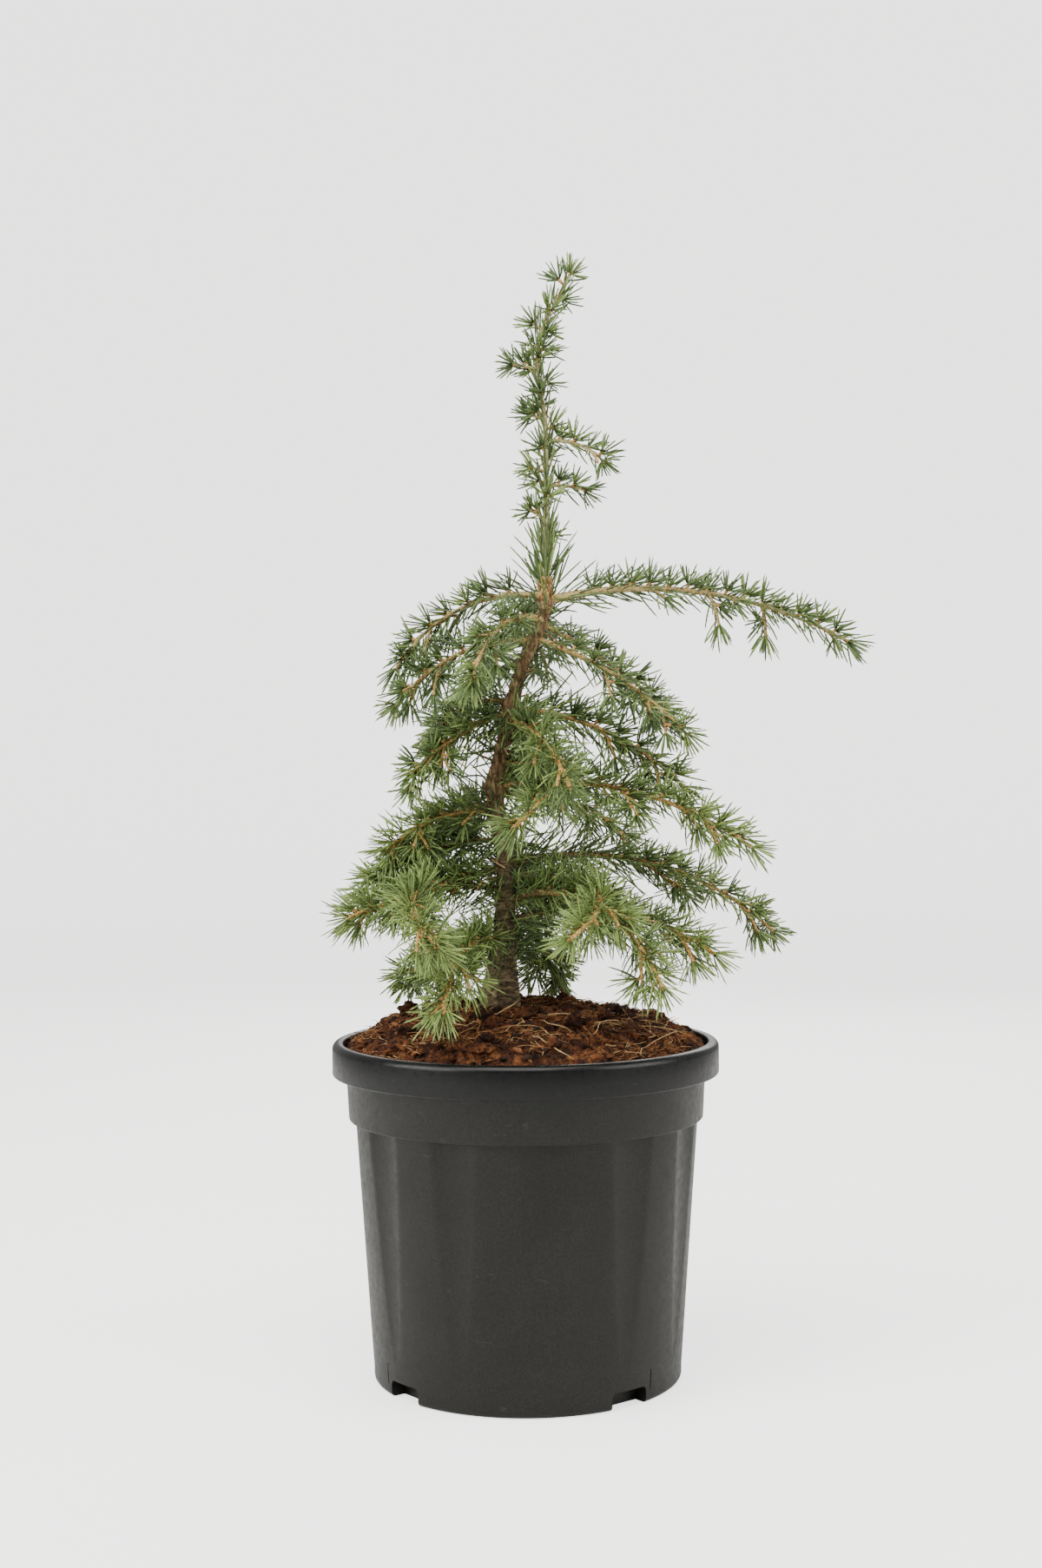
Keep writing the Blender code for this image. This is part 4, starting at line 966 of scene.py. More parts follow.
rng = np.random.default_rng([SEED, 100])
needle_width = NEEDLE_WIDTH
leader_line = smooth_line(TRUNK_LINE, np.linspace(0.284, TRUNK_LINE[-1, 0], 160))
add_singles("leader", shoot_needles(leader_line, 0.00140, 0.35, rng, (7, 24), (16, 40), 0.0225, 0.0140), rng)
fan_up = FAN_FOOT + 0.034 * rng.uniform(0, 1, LEADER_FAN) ** 1.5
fan_slope = np.where(rng.uniform(0, 1, LEADER_FAN) < 0.45, rng.uniform(38, 64, LEADER_FAN),
                     rng.uniform(64, 82, LEADER_FAN))
fan_length = rng.uniform(0.023, 0.033, LEADER_FAN)
fan_heading = GOLDEN_TURN * np.arange(LEADER_FAN)
fan = upright_needles(fan_up, fan_heading, fan_slope, fan_length, np.full(LEADER_FAN, -0.03), rng)
add_singles("leader", fan, rng)
for spur_up, heading in LEADER_SPURS:
    base = trunk_point(spur_up)
    axis = directions(np.array(heading), np.array(30.0))
    centre = base + axis * 0.0055
    spur_lines.append(base + (centre - base) * SPUR_STEPS)
    add_star("leader", rosette(centre, axis, 20, 0.0130, rng, 82.0), rng)
share = rng.uniform(0, 1, TRUNK_NEEDLES)
old_up = 0.028 + 0.238 * share**1.3
old = upright_needles(old_up, GOLDEN_TURN * np.arange(TRUNK_NEEDLES), rng.uniform(-25, 60, TRUNK_NEEDLES),
                      rng.uniform(0.018, 0.032, TRUNK_NEEDLES), rng.uniform(0.0, 0.35, TRUNK_NEEDLES), rng)
add_singles("upper", old, rng)
print("sprays on the leader:", sum(map(len, sprays["leader"].values())))

# %% [markdown]
# ## Shades of green
#
# Needles differ a little from spray to spray by chance, and light and shade are painted into them as well:
# dark, cool greens deep in the crown are painted shade, and a fresh yellow green outside and in front is
# painted light, where the lamps shine. A pattern painted across the whole crown would slide over the needles,
# so each spray is dealt one of five greens, as a material of its own, and each green varies a little.

# %% Needle materials
GREENS = (
    (0.080, 0.124, 0.040),
    (0.106, 0.160, 0.050),
    (0.144, 0.211, 0.060),
    (0.196, 0.277, 0.075),
    (0.264, 0.352, 0.100),
)
needle_materials = []
for number, green in enumerate(GREENS):
    material, tree, shader = new_material(f"needle_green_{number + 1}", 0.45, 0.4)
    blotched(tree, shader, noise_node(tree, 160, 2), green, 0.76, 1.24)
    needle_materials.append(material)

needle_total = 0
for zone, found in sprays.items():
    parts = []
    tones = []
    for name, form in (("short", SHORT_NEEDLE), ("long", LONG_NEEDLE)):
        if found[name]:
            arrays = [np.concatenate([spray[k] for spray in found[name]]) for k in range(5)]
            parts.append(needle_batch(form, *arrays))
            dealt = np.concatenate([np.full(len(spray[0]), spray[5]) for spray in found[name]])
            tones.append(np.repeat(dealt, needle_faces[len(form)]))
            needle_total += len(dealt)
    points, faces = join(parts)
    needles = new_piece(f"needles_{zone}", points, faces, needle_materials, np.concatenate(tones))
    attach(needles, "root")
    covered = [f"foliage_{bough.name}" for bough in BOUGHS if zone_of(bough.name) == zone]
    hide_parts(*covered)
print(needle_total, "needles")

# %% Twigs, buds, spurs and boughs as pieces
points, faces = join(twig_parts)
twigs_piece = new_piece("twigs", points, faces, [limb_bark])
add_ages(twigs_piece, twig_ages)
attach(twigs_piece, "root")
spur_array = np.array(spur_lines)
spur_radii = np.tile([0.00095, 0.00095, 0.00135, 0.00100], (len(spur_array), 1))
spurs = skins(*tubes(spur_array, spur_radii, 5))
points, faces = join([skins(*tubes(np.array(bud_lines), np.array(bud_radii), 6)), spurs])
buds_piece = new_piece("buds", points, faces, [bud_scale])
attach(buds_piece, "root")
points, faces = join(limb_parts)
limbs_piece = new_piece("boughs", points, faces, [limb_bark])
add_ages(limbs_piece, limb_ages)
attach(limbs_piece, "root")
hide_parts(*[f"bough_{bough.name}" for bough in BOUGHS if bough.limb])

# %% Bud scales round the leader's foot
SCALES = 54
SCALE_FLATNESS = 0.7
SCALE_HALF_WIDTH = 0.0009

rng = np.random.default_rng([SEED, 110])
scale_up = 0.2680 + 0.0140 * rng.uniform(0, 1, SCALES)
heading = GOLDEN_TURN * np.arange(SCALES)
out = directions(heading, np.zeros(SCALES))
roots = smooth_line(TRUNK_LINE, scale_up) + out * (trunk_radius(scale_up) + 0.0002)[:, None]
way = directions(heading, rng.uniform(50, 85, SCALES))
lengths = rng.uniform(0.0028, 0.0046, SCALES)
t = np.array([0.0, 0.35, 0.7])[None, :, None]
lines = roots[:, None] + lengths[:, None, None] * (way[:, None] * t + out[:, None] * 0.25 * t**2)
rings, feet, _ = tubes(lines, np.array([[0.0008, 0.0011, 0.0008]]) * np.ones((SCALES, 1)), 6)
flat = unit(rings - lines[:, :, None])
thin = (flat * out[:, None, None]).sum(-1, keepdims=True) * out[:, None, None]
rings = rings - thin * SCALE_FLATNESS * SCALE_HALF_WIDTH
tips = roots + lengths[:, None] * (way + out * 0.25)
points, faces = skins(rings, feet, tips)
scales_piece = new_piece("bud_scales", points, faces, [bud_scale])
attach(scales_piece, "root")

# %% [markdown]
# ## The pot
#
# The pot is one injection-moulded shell: a rolled rim, a collar below it, and a wall with twelve shallow
# flutes. A turned profile alone would miss the flutes, so the rings are worked out as a function of turn
# and height. The columns of the grid follow each flute's two edges as it narrows, which keeps them sharp.

# %% Sizes of the pot
RIM_RADIUS = 0.1269
RIM_FOOT = 0.1990
COLLAR_TOP_RADIUS = 0.1177
COLLAR_RADIUS = 0.1163
COLLAR_FOOT = 0.1700
WALL_TOP_RADIUS = 0.1127
WALL_FOOT_RADIUS = 0.1010
WALL_FOOT = 0.0080
BASE_RADIUS = 0.0993
INSIDE_TOP = POT_HEIGHT - 0.003
WALL = 0.0042
FLOOR = 0.0140
FLUTES = 12
FLUTE_START = 6.0
FLUTE_TOP = 0.1690
FLUTE_END = 0.0200
FLUTE_DEPTH = 0.0027
FLUTE_HALF_TURN = 8.0
FLUTE_COLUMNS = 12
LAND_COLUMNS = 12
WALL_ROWS = 70
NOTCH_WIDTH = 0.0280
NOTCH_HEIGHT = 0.0110


def wall_radius(z):
    """The wall's outer radius at a height, straight from its foot to the collar."""
    return np.interp(z, [WALL_FOOT, COLLAR_FOOT], [WALL_FOOT_RADIUS, WALL_TOP_RADIUS])


def arc(middle, radius, start, end, count=5):
    """Points (radius, height) on part of a circle, from one angle to another in degrees."""
    turn = np.radians(np.linspace(start, end, count))
    return np.column_stack([middle[0] + radius * np.cos(turn), middle[1] + radius * np.sin(turn)])


inside = [(wall_radius(FLOOR) - WALL, FLOOR), (wall_radius(0.1675) - WALL, 0.1675),
          (COLLAR_RADIUS - WALL, 0.1725), (COLLAR_TOP_RADIUS - WALL, RIM_FOOT),
          (MOUTH_RADIUS, INSIDE_TOP)]
above_wall = np.vstack([
    inside,
    arc((MOUTH_RADIUS + 0.0016, POT_HEIGHT - 0.0016), 0.0016, 180, 90),
    arc((RIM_RADIUS - 0.0042, POT_HEIGHT - 0.0042), 0.0042, 90, 0, 8),
    arc((RIM_RADIUS - 0.0012, RIM_FOOT + 0.0012), 0.0012, 0, -90, 4),
    arc((COLLAR_TOP_RADIUS + 0.0010, RIM_FOOT - 0.0010), 0.0010, 90, 180, 4),
    arc((COLLAR_RADIUS - 0.0010, COLLAR_FOOT + 0.0010), 0.0010, 0, -90, 4),
    arc((WALL_TOP_RADIUS + 0.0005, COLLAR_FOOT - 0.0005), 0.0005, 90, 180, 3),
])
wall_heights = np.linspace(COLLAR_FOOT - 0.0008, WALL_FOOT, WALL_ROWS)
profile = np.vstack([
    above_wall,
    np.column_stack([wall_radius(wall_heights), wall_heights]),
    arc((BASE_RADIUS - 0.0013, 0.0030), 0.0030, 0, -90, 5),
    [(BASE_RADIUS * 0.6, 0.0)],
])
print("pot profile:", len(profile), "points")

# %% The pot's mesh
z = profile[:, 1][:, None]
depth = FLUTE_DEPTH * np.clip((z - FLUTE_END) / (FLUTE_TOP - FLUTE_END), 0.004, 1)
half_top = WALL_TOP_RADIUS * math.sin(math.radians(FLUTE_HALF_TURN))
curve = FLUTE_DEPTH / half_top**2
half_angle = np.degrees(np.sqrt(depth / curve) / wall_radius(z))
step = 360.0 / FLUTES
in_flute = np.linspace(-1, 1, FLUTE_COLUMNS + 1)[:-1][None, :]
on_land = np.linspace(0, 1, LAND_COLUMNS + 1)[:-1][None, :]
offsets = np.hstack([in_flute * half_angle, half_angle + on_land * (step - 2 * half_angle)])
carved = np.hstack([(1 - in_flute**2) * depth, np.zeros((len(profile), LAND_COLUMNS))])
outer_wall = (np.arange(len(profile)) >= len(above_wall))[:, None]
on_wall = outer_wall & (z > FLUTE_END) & (z < FLUTE_TOP + 0.0005)
carved = np.where(on_wall, carved, 0.0)
turns = FLUTE_START - 90 + step * np.arange(FLUTES)[:, None, None] + offsets[None]
turns = np.radians(np.moveaxis(turns, 0, 1).reshape(len(profile), -1))
radius = profile[:, :1] - np.tile(carved, (1, FLUTES))
pot_rings = np.stack([radius * np.cos(turns), radius * np.sin(turns), np.broadcast_to(z, radius.shape)], -1)
pot_points, pot_faces = skins(pot_rings[None], np.array([[0, 0, FLOOR]]), np.array([[0, 0, 0.0]]))
pot_faces = pot_faces[:, ::-1]
print("pot grid:", pot_rings.shape)

# %% [markdown]
# ### Drain notches
#
# Four notches are cut through the foot of the wall, each with a fine slot beside it, on its left or on its
# right in turn. Cutting is what a Boolean modifier is for: blocks with rounded upper corners are taken away
# from the shell, and the result is kept as the finished mesh.

# %% Cut the drain notches
NOTCHES = 4
NOTCH_START = 39.0
NOTCH_ROUND = 0.0030
NOTCH_INNER_RADIUS = 0.0900
SLOT_TURN = 10.3
SLOT_WIDTH = 0.0008
SLOT_DEPTH = 0.0005
SLOT_LOW = 0.0075
SLOT_HIGH = 0.0205
# painted shade: the colour the rim is painted in, darker than the wall, though it is the same plastic
RIM_SHADE_COLOUR = (0.0018, 0.0018, 0.0020, 1.0)
SCUFF_COLOUR = (0.035, 0.034, 0.031, 1.0)


def outward_block(turn, near_radius, outline):
    """A block that runs outwards from a radius, with a given outline of (sideways, height) points."""
    near = np.column_stack([np.full(len(outline), near_radius), outline])
    far = near + (0.03, 0, 0)
    rings = np.stack([near, far])
    spin = np.array([[math.cos(turn), math.sin(turn), 0], [-math.sin(turn), math.cos(turn), 0], [0, 0, 1]])
    return skins(rings[None] @ spin, near.mean(0)[None] @ spin, far.mean(0)[None] @ spin)


def notch_outline():
    """Square below and rounded above."""
    half, top, r = NOTCH_WIDTH / 2, NOTCH_HEIGHT, NOTCH_ROUND
    return np.vstack([[(-half, -0.01), (half, -0.01)], arc((half - r, top - r), r, 0, 90),
                      arc((r - half, top - r), r, 90, 180)])


def slot_outline():
    """An upright slit."""
    half = SLOT_WIDTH / 2
    return np.array([(-half, SLOT_LOW), (half, SLOT_LOW), (half, SLOT_HIGH), (-half, SLOT_HIGH)])


plastic, tree, shader = new_material("pot_plastic", 0.40, 0.28)
haze = noise_node(tree, 30, 5)
scuffs = noise_node(tree, 240, 8, (1, 1, 1), 0.4)
plastic_colour = ramp_node(tree, haze, [(0.35, (0.0056, 0.0055, 0.0043)), (0.70, (0.0085, 0.0083, 0.0066))])
speckle = ramp_node(tree, noise_node(tree, 620, 3), [(0.38, (0.72,) * 3), (0.62, (1.30,) * 3)])
plastic_colour = mix_node(tree, 1.0, plastic_colour, speckle, "MULTIPLY")
# painted shade on the rim: above its foot the base colour turns to the darker rim colour; the same mask makes
# the rim glossier
on_rim = height_share(tree, 0.1985, 0.1995)
plastic_colour = mix_node(tree, on_rim, plastic_colour, RIM_SHADE_COLOUR)
scratches = ramp_node(tree, noise_node(tree, 90, 9, (1, 1, 3.0), 1.5), [(0.66, (0, 0, 0)), (0.74, (1, 1, 1))])
worn_colour = mix_node(tree, 0.35, plastic_colour, SCUFF_COLOUR)
tree.links.new(mix_node(tree, scratches, plastic_colour, worn_colour), shader.inputs["Base Color"])
gloss = spread_node(tree, scuffs, 0.3, 0.7, 0.33, 0.47)
polish = tree.nodes.new("ShaderNodeMath")
polish.operation = "MULTIPLY_ADD"
polish.inputs[1].default_value = -0.10
tree.links.new(on_rim, polish.inputs[0])
tree.links.new(gloss, polish.inputs[2])
tree.links.new(polish.outputs["Value"], shader.inputs["Roughness"])
add_bump(tree, shader, noise_node(tree, 900, 3), 0.10, 0.0002)

pot = new_piece("pot_shell", pot_points, pot_faces, [plastic])
blocks = []
for k in range(NOTCHES):
    turn = NOTCH_START + 360 / NOTCHES * k - 90
    blocks.append(outward_block(math.radians(turn), NOTCH_INNER_RADIUS, notch_outline()))
    slot_radius = wall_radius(SLOT_LOW) - SLOT_DEPTH
    beside = turn + (SLOT_TURN if k % 2 == 0 else -SLOT_TURN)
    blocks.append(outward_block(math.radians(beside), slot_radius, slot_outline()))
cutter = new_piece("notch_blocks", *join(blocks), [plastic], smooth=False)
cut = pot.modifiers.new("notches", "BOOLEAN")
cut.operation = "DIFFERENCE"
cut.object = cutter
bpy.context.view_layer.update()
finished = bpy.data.meshes.new_from_object(pot.evaluated_get(bpy.context.evaluated_depsgraph_get()))
pot.modifiers.clear()
pot.data = finished
pot.data.shade_smooth()
pot.data.set_sharp_from_angle(angle=math.radians(24))
bpy.data.objects.remove(cutter, do_unlink=True)
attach(pot, "root")
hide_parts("pot")
print("pot faces after the cut:", len(pot.data.polygons))

# %% [markdown]
# ## The soil
#
# The compost is coarse coir: a red-brown mound of clods, crumbs and curly fibres with a few pale roots. One
# displaced mound gives its shape, and loose bits of four kinds lie on it. The fibres lie in mats, with bare
# clods and crumbs between them. Bits scattered by a particle system would be lost on export, so they are
# joined meshes, each from one array.

# %% The soil's mound
SOIL_GAP = 0.0006
MOUND_SIDES = 300
MOUND_RINGS = 150
BANK_HEIGHT = 0.0030
BANK_REACH = 0.021
LUMPS_END = 0.1180
LUMPS_FADE = 0.010


def mound_height(x, y):
    """The mound's height: its crown, with lumps of three sizes that fade near the pot.

    It is banked up a little round the trunk's foot, by the bell curve of the distance from there.
    """
    radius = np.hypot(x, y)
    spots = np.stack([x, y, np.zeros_like(x)], -1)
    lumps = 0.0019 * waves(spots, 0.026, 21) + 0.0018 * waves(spots, 0.011, 22)
    lumps += 0.0009 * waves(spots, 0.0042, 23)
    within = np.clip((LUMPS_END - radius) / LUMPS_FADE, 0, 1)
    banked = BANK_HEIGHT * np.exp(-((x - TRUNK_LINE[0, 1]) ** 2 + y**2) / BANK_REACH**2)
    return mound_crown(radius) + lumps * (0.3 + 0.7 * within) + banked


edge_share = (SOIL_EDGE - RIM_FOOT) / (INSIDE_TOP - RIM_FOOT)
edge_radius = np.interp(edge_share, [0, 1], [COLLAR_TOP_RADIUS - WALL, MOUTH_RADIUS]) - SOIL_GAP
mound_radius = np.linspace(0.0006, edge_radius - 0.0010, MOUND_RINGS)
turn = np.linspace(0, 2 * np.pi, MOUND_SIDES, endpoint=False)
x = mound_radius[:, None] * np.cos(turn)
y = mound_radius[:, None] * np.sin(turn)
mound = np.stack([x, y, mound_height(x, y)], -1)
below = np.array([(r - SOIL_GAP, h) for r, h in reversed(inside[:-1])])
below[-1, 1] = FLOOR + SOIL_GAP
soil_rings = np.concatenate([mound, turned_rings(below, MOUND_SIDES)])[None]
crown = np.array([[0, 0, mound_height(np.zeros(1), np.zeros(1))[0]]])
points, faces = skins(soil_rings, crown, np.array([[0, 0, FLOOR + SOIL_GAP]]))

coir, tree, shader = new_material("coir", 0.95, 0.2)
clods = noise_node(tree, 62, 8, distortion=1.0)
crumbs = noise_node(tree, 400, 7, distortion=0.6)
coir_colour = ramp_node(tree, clods, [(0.32, (0.008, 0.003, 0.002)), (0.46, (0.045, 0.014, 0.005)),
                                     (0.58, (0.125, 0.041, 0.013)), (0.74, (0.280, 0.118, 0.037))])
# partly the crumbs' own tone and partly painted shade: where the crumbs' bump is low the colour is painted up
# to eight times darker, as shade in the pits between them
crumb_tone_and_pit_shade = ramp_node(tree, crumbs, [(0.34, (0.12, 0.10, 0.09)), (0.60, (1.0, 1.0, 1.0))])
tree.links.new(mix_node(tree, 1.0, coir_colour, crumb_tone_and_pit_shade, "MULTIPLY"), shader.inputs["Base Color"])
add_bump(tree, shader, crumbs, 1.0, 0.0014)
soil = new_piece("soil_mound", points, faces[:, ::-1], [coir])
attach(soil, "root")
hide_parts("soil")

# %% Chips and crumbs on the mound
CHIPS = 1500
CHIP_REACH = 0.1165
SMALLEST_CHIP = 0.0009
CHIP_RANGE = 0.0034
CHIP_COLOURS = ((0.020, 0.009, 0.005), (0.078, 0.027, 0.010), (0.175, 0.070, 0.026))


def scattered(count, rng, reach):
    """Random places on the mound, even over its area, as x and y, with the mound's height there."""
    radius = reach * np.sqrt(rng.uniform(0.004, 1, count))
    turn = rng.uniform(0, 2 * np.pi, count)
    x, y = radius * np.cos(turn), radius * np.sin(turn)
    return np.stack([x, y, mound_height(x, y)], -1)


def random_turns(count, rng, tilt):
    """Rotation matrices: a random heading, then a tilt of up to this many degrees about a level axis."""
    ahead = directions(rng.uniform(0, 360, count), rng.uniform(-tilt, tilt, count))
    side = unit(np.cross([0, 0, 1.0], ahead) + rng.normal(0, 0.25, (count, 3)))
    side = unit(side - (side * ahead).sum(-1, keepdims=True) * ahead)
    return np.stack([ahead, side, np.cross(ahead, side)], 1)


rng = np.random.default_rng([SEED, 200])
places = scattered(CHIPS, rng, CHIP_REACH)
size = SMALLEST_CHIP + CHIP_RANGE * rng.uniform(0, 1, CHIPS) ** 2.6
shape = np.stack([size, size * rng.uniform(0.45, 0.8, CHIPS), size * rng.uniform(0.25, 0.5, CHIPS)], -1)
turn = np.linspace(0, 2 * np.pi, 6, endpoint=False)
ball = np.stack([np.stack([np.full(6, h), w * np.cos(turn), w * np.sin(turn)], -1)
                 for h, w in ((-0.65, 0.75), (0.0, 1.0), (0.65, 0.7))])
chips = ball[None] * rng.uniform(0.7, 1.3, (CHIPS, 3, 6, 1))
feet, heads = np.tile([[-1.0, 0, 0]], (CHIPS, 1)), np.tile([[1.0, 0, 0]], (CHIPS, 1))
spins = random_turns(CHIPS, rng, 35)
lift = places + np.array([0, 0, 1.0]) * (shape[:, 2:] * 0.4)


def placed(local):
    """Local points of each chip, sized, turned and put in place."""
    wide = local.reshape(CHIPS, -1, 3) * shape[:, None]
    return (wide @ spins + lift[:, None]).reshape(local.shape)


points, faces = skins(placed(chips), placed(feet[:, None])[:, 0], placed(heads[:, None])[:, 0])
tones = np.repeat(rng.choice(3, CHIPS, p=[0.45, 0.40, 0.15]), skin_faces(3, 6).shape[0])
chip_materials = []
for number, colour in enumerate(CHIP_COLOURS):
    material, tree, shader = new_material(f"coir_chip_{number + 1}", 0.9, 0.2)
    rough = noise_node(tree, 500, 4)
    blotched(tree, shader, rough, colour, 0.55, 1.5)
    add_bump(tree, shader, rough, 0.6, 0.0006)
    chip_materials.append(material)
chips_piece = new_piece("soil_chips", points, faces, chip_materials, tones, smooth=False)
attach(chips_piece, "root")

# %% Clods of coir
CLODS = 170
CLOD_REACH = 0.1080
SMALLEST_CLOD = 0.0024
CLOD_RANGE = 0.0050
# x, y and size of two clods that stand up at the left of the rim
TALL_CLODS = ((-0.0780, 0.0300, 0.0068), (-0.0930, 0.0330, 0.0048))

rng = np.random.default_rng([SEED, 250])
clod_places = scattered(CLODS, rng, CLOD_REACH)
clod_sizes = SMALLEST_CLOD + CLOD_RANGE * rng.uniform(0, 1, CLODS) ** 1.6
tall = np.array(TALL_CLODS)
clod_places[:len(tall), :2] = tall[:, :2]
clod_places[:len(tall), 2] = mound_height(tall[:, 0], tall[:, 1]) + 0.80 * tall[:, 2]
clod_sizes[:len(tall)] = tall[:, 2]
latitude = np.linspace(-0.42, 0.42, 9)[:, None] * np.pi
longitude = np.linspace(0, 2 * np.pi, 14, endpoint=False)[None, :]
ball = np.stack([np.cos(latitude) * np.cos(longitude), np.cos(latitude) * np.sin(longitude),
                 np.sin(latitude) * np.ones_like(longitude)], -1)
stretch = rng.uniform(0.7, 1.2, (CLODS, 1, 1, 3)) * (1, 1, 0.75)
clods = clod_places[:, None, None] + ball * stretch * clod_sizes[:, None, None, None]
lumpy = 1 + 0.30 * waves(clods, 0.0052, 31) + 0.16 * waves(clods, 0.0020, 32)
clods = clod_places[:, None, None] + (clods - clod_places[:, None, None]) * lumpy[..., None]
poles = np.array([0, 0, 0.72]) * clod_sizes[:, None]
points, faces = skins(clods, clod_places - poles, clod_places + poles)
clods_piece = new_piece("soil_clods", points, faces, [coir])
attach(clods_piece, "root")

# %% Fibres and roots
FIBRES = 4200
FIBRE_REACH = 0.1160
FIBRE_LIMIT = 0.1178
STANDING = 0.10
MAT_SIZE = 0.034
ROOTS = 42
FIBRE_TAPER = np.array([0.4, 0.8, 1, 1, 1, 1, 0.8, 0.4])

# name, colour, share of the fibres, their radius and their longest length
FIBRE_TONES = (("fibre_dark", (0.070, 0.026, 0.010), 0.32, 0.00025, 0.016),
               ("fibre_rust", (0.185, 0.070, 0.023), 0.38, 0.00023, 0.019),
               ("fibre_tan", (0.330, 0.170, 0.064), 0.24, 0.00021, 0.023),
               ("fibre_pale", (0.480, 0.310, 0.145), 0.06, 0.00022, 0.028))


def fibre_batch(count, rng, lengths, radius, lift, tilt, curl, in_mats=True):
    """Thin curly threads on the mound, with tapering ends.

    Each runs straight, leaves its line in an arch and in a slower wave, and some stand up at one end.
    Those in mats are kept only where a slow wave over the mound, with some chance added, is high.
    """
    roots = scattered(count, rng, FIBRE_REACH)
    matted = waves(roots * (1, 1, 0), MAT_SIZE, 34) + rng.normal(0, 0.35, count) > -0.10
    slope = rng.uniform(-6, tilt, count) + 35 * (rng.uniform(0, 1, count) < STANDING)
    ahead = directions(rng.uniform(0, 360, count), slope)
    side = unit(np.cross(ahead, [0, 0, 1.0]))
    t = np.linspace(-0.5, 0.5, 8)[None, :, None]
    bow = rng.uniform(-0.9, 0.9, (count, 1, 1)) * (t**2 - 0.25)
    wave = curl * np.sin(2 * np.pi * (1.4 * t + rng.uniform(0, 1, (count, 1, 1))))
    arch = rng.uniform(-0.1, 0.5, (count, 1, 1)) * (0.25 - t**2) * np.array([0, 0, 1.0])
    way = ahead[:, None] * t + side[:, None] * (bow + wave) + arch
    lines = roots[:, None] + lengths[:, None, None] * way
    laid = (np.hypot(lines[..., 0], lines[..., 1]).max(1) < FIBRE_LIMIT) & (matted | (not in_mats))
    rest = mound_height(lines[..., 0], lines[..., 1]) + lift
    lines[..., 2] = np.maximum(lines[..., 2], rest)
    return skins(*tubes(lines[laid], np.tile(radius * FIBRE_TAPER, (laid.sum(), 1)), 3))


rng = np.random.default_rng([SEED, 300])
parts = []
tones = []
fibre_materials = []
for number, (name, colour, share, radius, longest) in enumerate(FIBRE_TONES):
    count = int(FIBRES * share)
    lengths = rng.uniform(0.35, 1.0, count) * longest
    parts.append(fibre_batch(count, rng, lengths, radius, 0.0004, 18, 0.09))
    tones.append(np.full(len(parts[-1][1]), number))
    material, tree, shader = new_material(name, 0.8, 0.25)
    blotched(tree, shader, noise_node(tree, 380, 3), colour, 0.65, 1.3)
    fibre_materials.append(material)
pale = fibre_batch(ROOTS, rng, rng.uniform(0.018, 0.045, ROOTS), 0.00042, 0.0012, 5, 0.05, in_mats=False)
parts.append(pale)
tones.append(np.full(len(pale[1]), len(FIBRE_TONES) - 1))
points, faces = join(parts)
fibres = new_piece("soil_fibres", points, faces, fibre_materials, np.concatenate(tones))
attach(fibres, "root")

# %% [markdown]
# ## Studio
#
# The plant stands in soft light from both sides and above, with a weaker light behind it so that its back
# can be seen as well. A wall close behind the plant would hide it from the back. So one round sweep, far
# larger than any view, is both floor and wall. It glows a little, as a screen with a lamp behind it does,
# so that it stays near white without more light on the plant: only the camera sees it. A thin disc just
# under it is what bounces light up to the plant.

# %% Floor and backdrop
SWEEP_RADIUS = 6.0
SWEEP_BEND = 1.6
SWEEP_TOP = 7.5
SWEEP_SIDES = 96
FLOOR_GLOW = 1.7
WALL_GLOW = 2.3
GLOW_NEAR = 0.5
GLOW_FAR = 5.0
FLOOR_COLOUR = (0.80, 0.80, 0.785)

backdrop, tree, shader = new_material("backdrop", 0.7, 0.2)
shader.inputs["Base Color"].default_value = (*FLOOR_COLOUR, 1.0)
shader.inputs["Emission Color"].default_value = (1.0, 0.998, 0.990, 1.0)
place = tree.nodes.new("ShaderNodeTexCoord")
distance = tree.nodes.new("ShaderNodeVectorMath")
distance.operation = "LENGTH"
tree.links.new(place.outputs["Object"], distance.inputs[0])
glow = spread_node(tree, distance.outputs["Value"], GLOW_NEAR, GLOW_FAR, FLOOR_GLOW, WALL_GLOW)
tree.links.new(glow, shader.inputs["Emission Strength"])


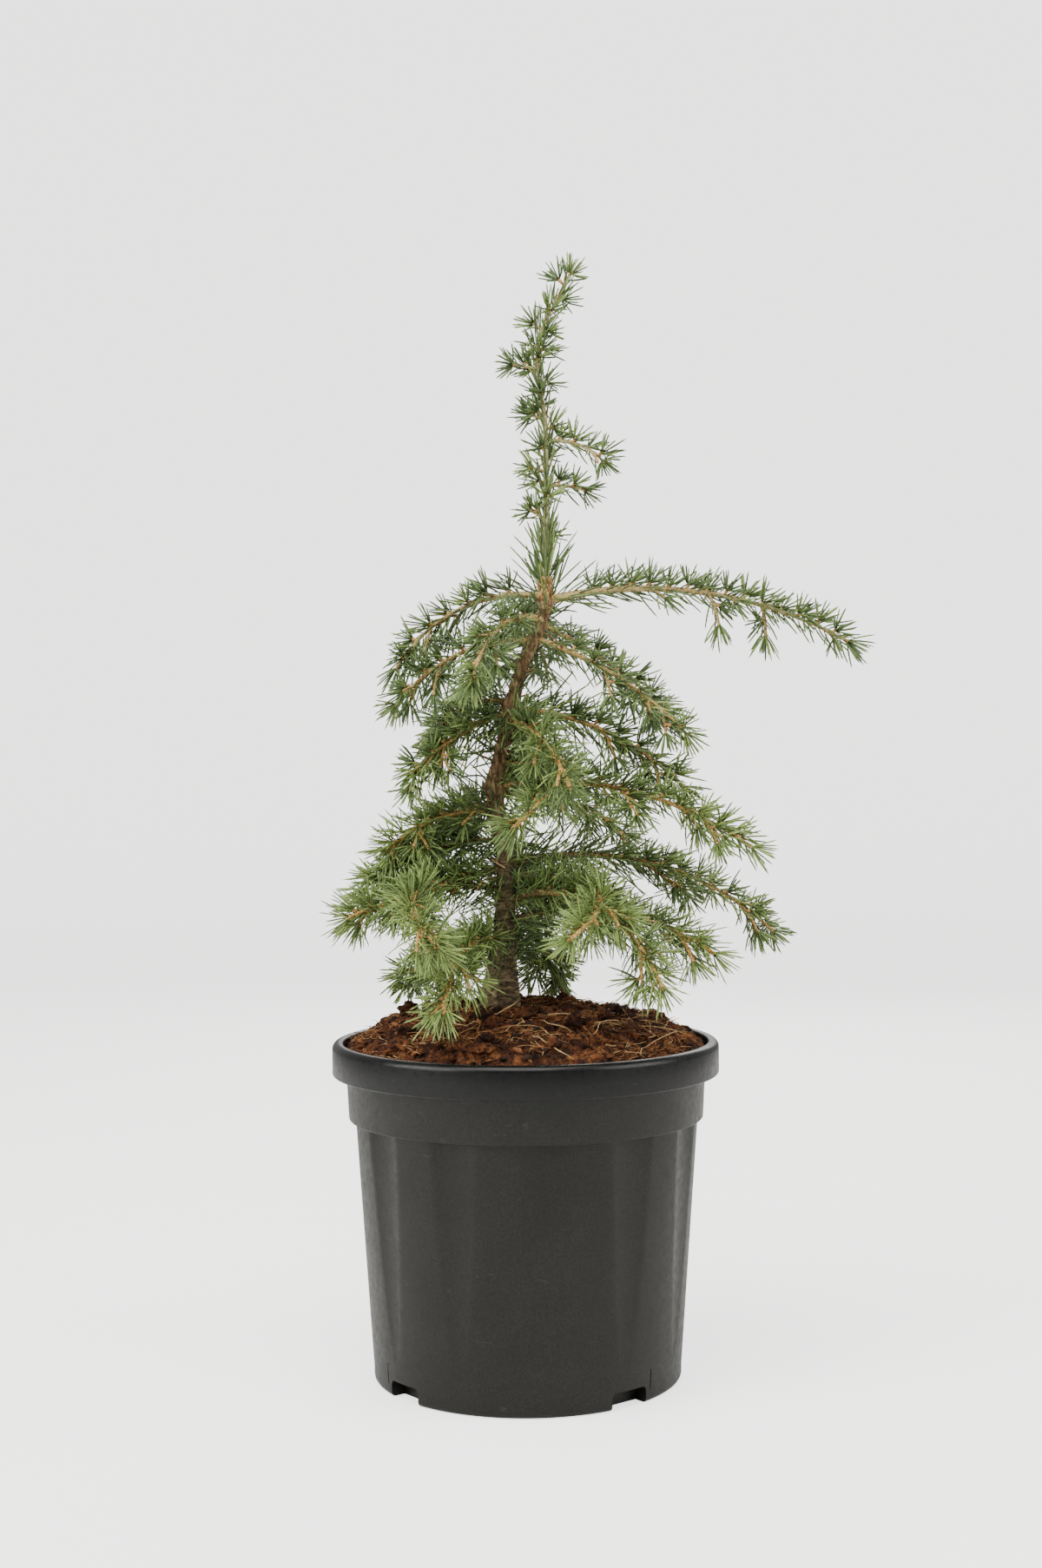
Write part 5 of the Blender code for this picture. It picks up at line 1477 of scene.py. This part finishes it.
def turned_skin(profile, foot, head):
    """A closed skin turned round the upright axis from a profile of (radius, height) points."""
    rings = turned_rings(np.asarray(profile), SWEEP_SIDES)
    return skins(rings[None], np.array([[0, 0, foot]]), np.array([[0, 0, head]]))


level = [(radius, -0.0002) for radius in (0.1, 0.3, 0.6, 1.0, 1.8, 3.0, 4.6)]
curve = arc((SWEEP_RADIUS, SWEEP_BEND - 0.0002), SWEEP_BEND, -90, 0, 17)
roof = [(7.2, 3.4), (6.0, 5.6), (4.2, 6.8), (2.0, 7.3)]
points, faces = turned_skin(np.vstack([level, curve, roof]), -0.0002, SWEEP_TOP)
sweep = new_piece("studio_sweep", points, faces, [backdrop])
for kind in ("diffuse", "glossy", "transmission", "shadow"):
    setattr(sweep, f"visible_{kind}", False)

bounce, tree, shader = new_material("bounce_disc", 0.9, 0.1)
shader.inputs["Base Color"].default_value = (*FLOOR_COLOUR, 1.0)
points, faces = turned_skin([(3.0, -0.0030), (3.0, -0.0010)], -0.0030, -0.0010)
disc = new_piece("studio_disc", points, faces, [bounce], smooth=False)
disc.visible_camera = False

# %% Lights
WARM_WHITE = (1.0, 0.992, 0.965)
ROOM_LIGHT = 0.45


def area_light(name, place, target, size, power):
    """A square soft light that faces a target."""
    data = bpy.data.lights.new(name, "AREA")
    data.shape = "SQUARE"
    data.size = size
    data.energy = power
    data.color = WARM_WHITE
    light = bpy.data.objects.new(name, data)
    light.visible_camera = False
    bpy.context.scene.collection.objects.link(light)
    back = unit(np.array(place) - np.array(target))
    side = unit(np.cross([0, 0, 1.0], back))
    light.matrix_world = pose(side, np.cross(back, side), back, place)


target = (0.0, 0.0, 0.30)
area_light("light_left", (-1.6, -0.8, 1.1), target, 1.4, 43)
area_light("light_right", (1.6, -0.6, 1.1), target, 1.4, 28)
area_light("light_top", (-0.2, -0.8, 2.1), target, 1.8, 60)
area_light("light_back", (0.3, 1.7, 1.3), target, 1.4, 20)
world = bpy.data.worlds.new("studio")
bpy.context.scene.world = world
world.use_nodes = True
background = world.node_tree.nodes["Background"]
background.inputs["Color"].default_value = (*WARM_WHITE, 1.0)
background.inputs["Strength"].default_value = ROOM_LIGHT
print("studio ready")
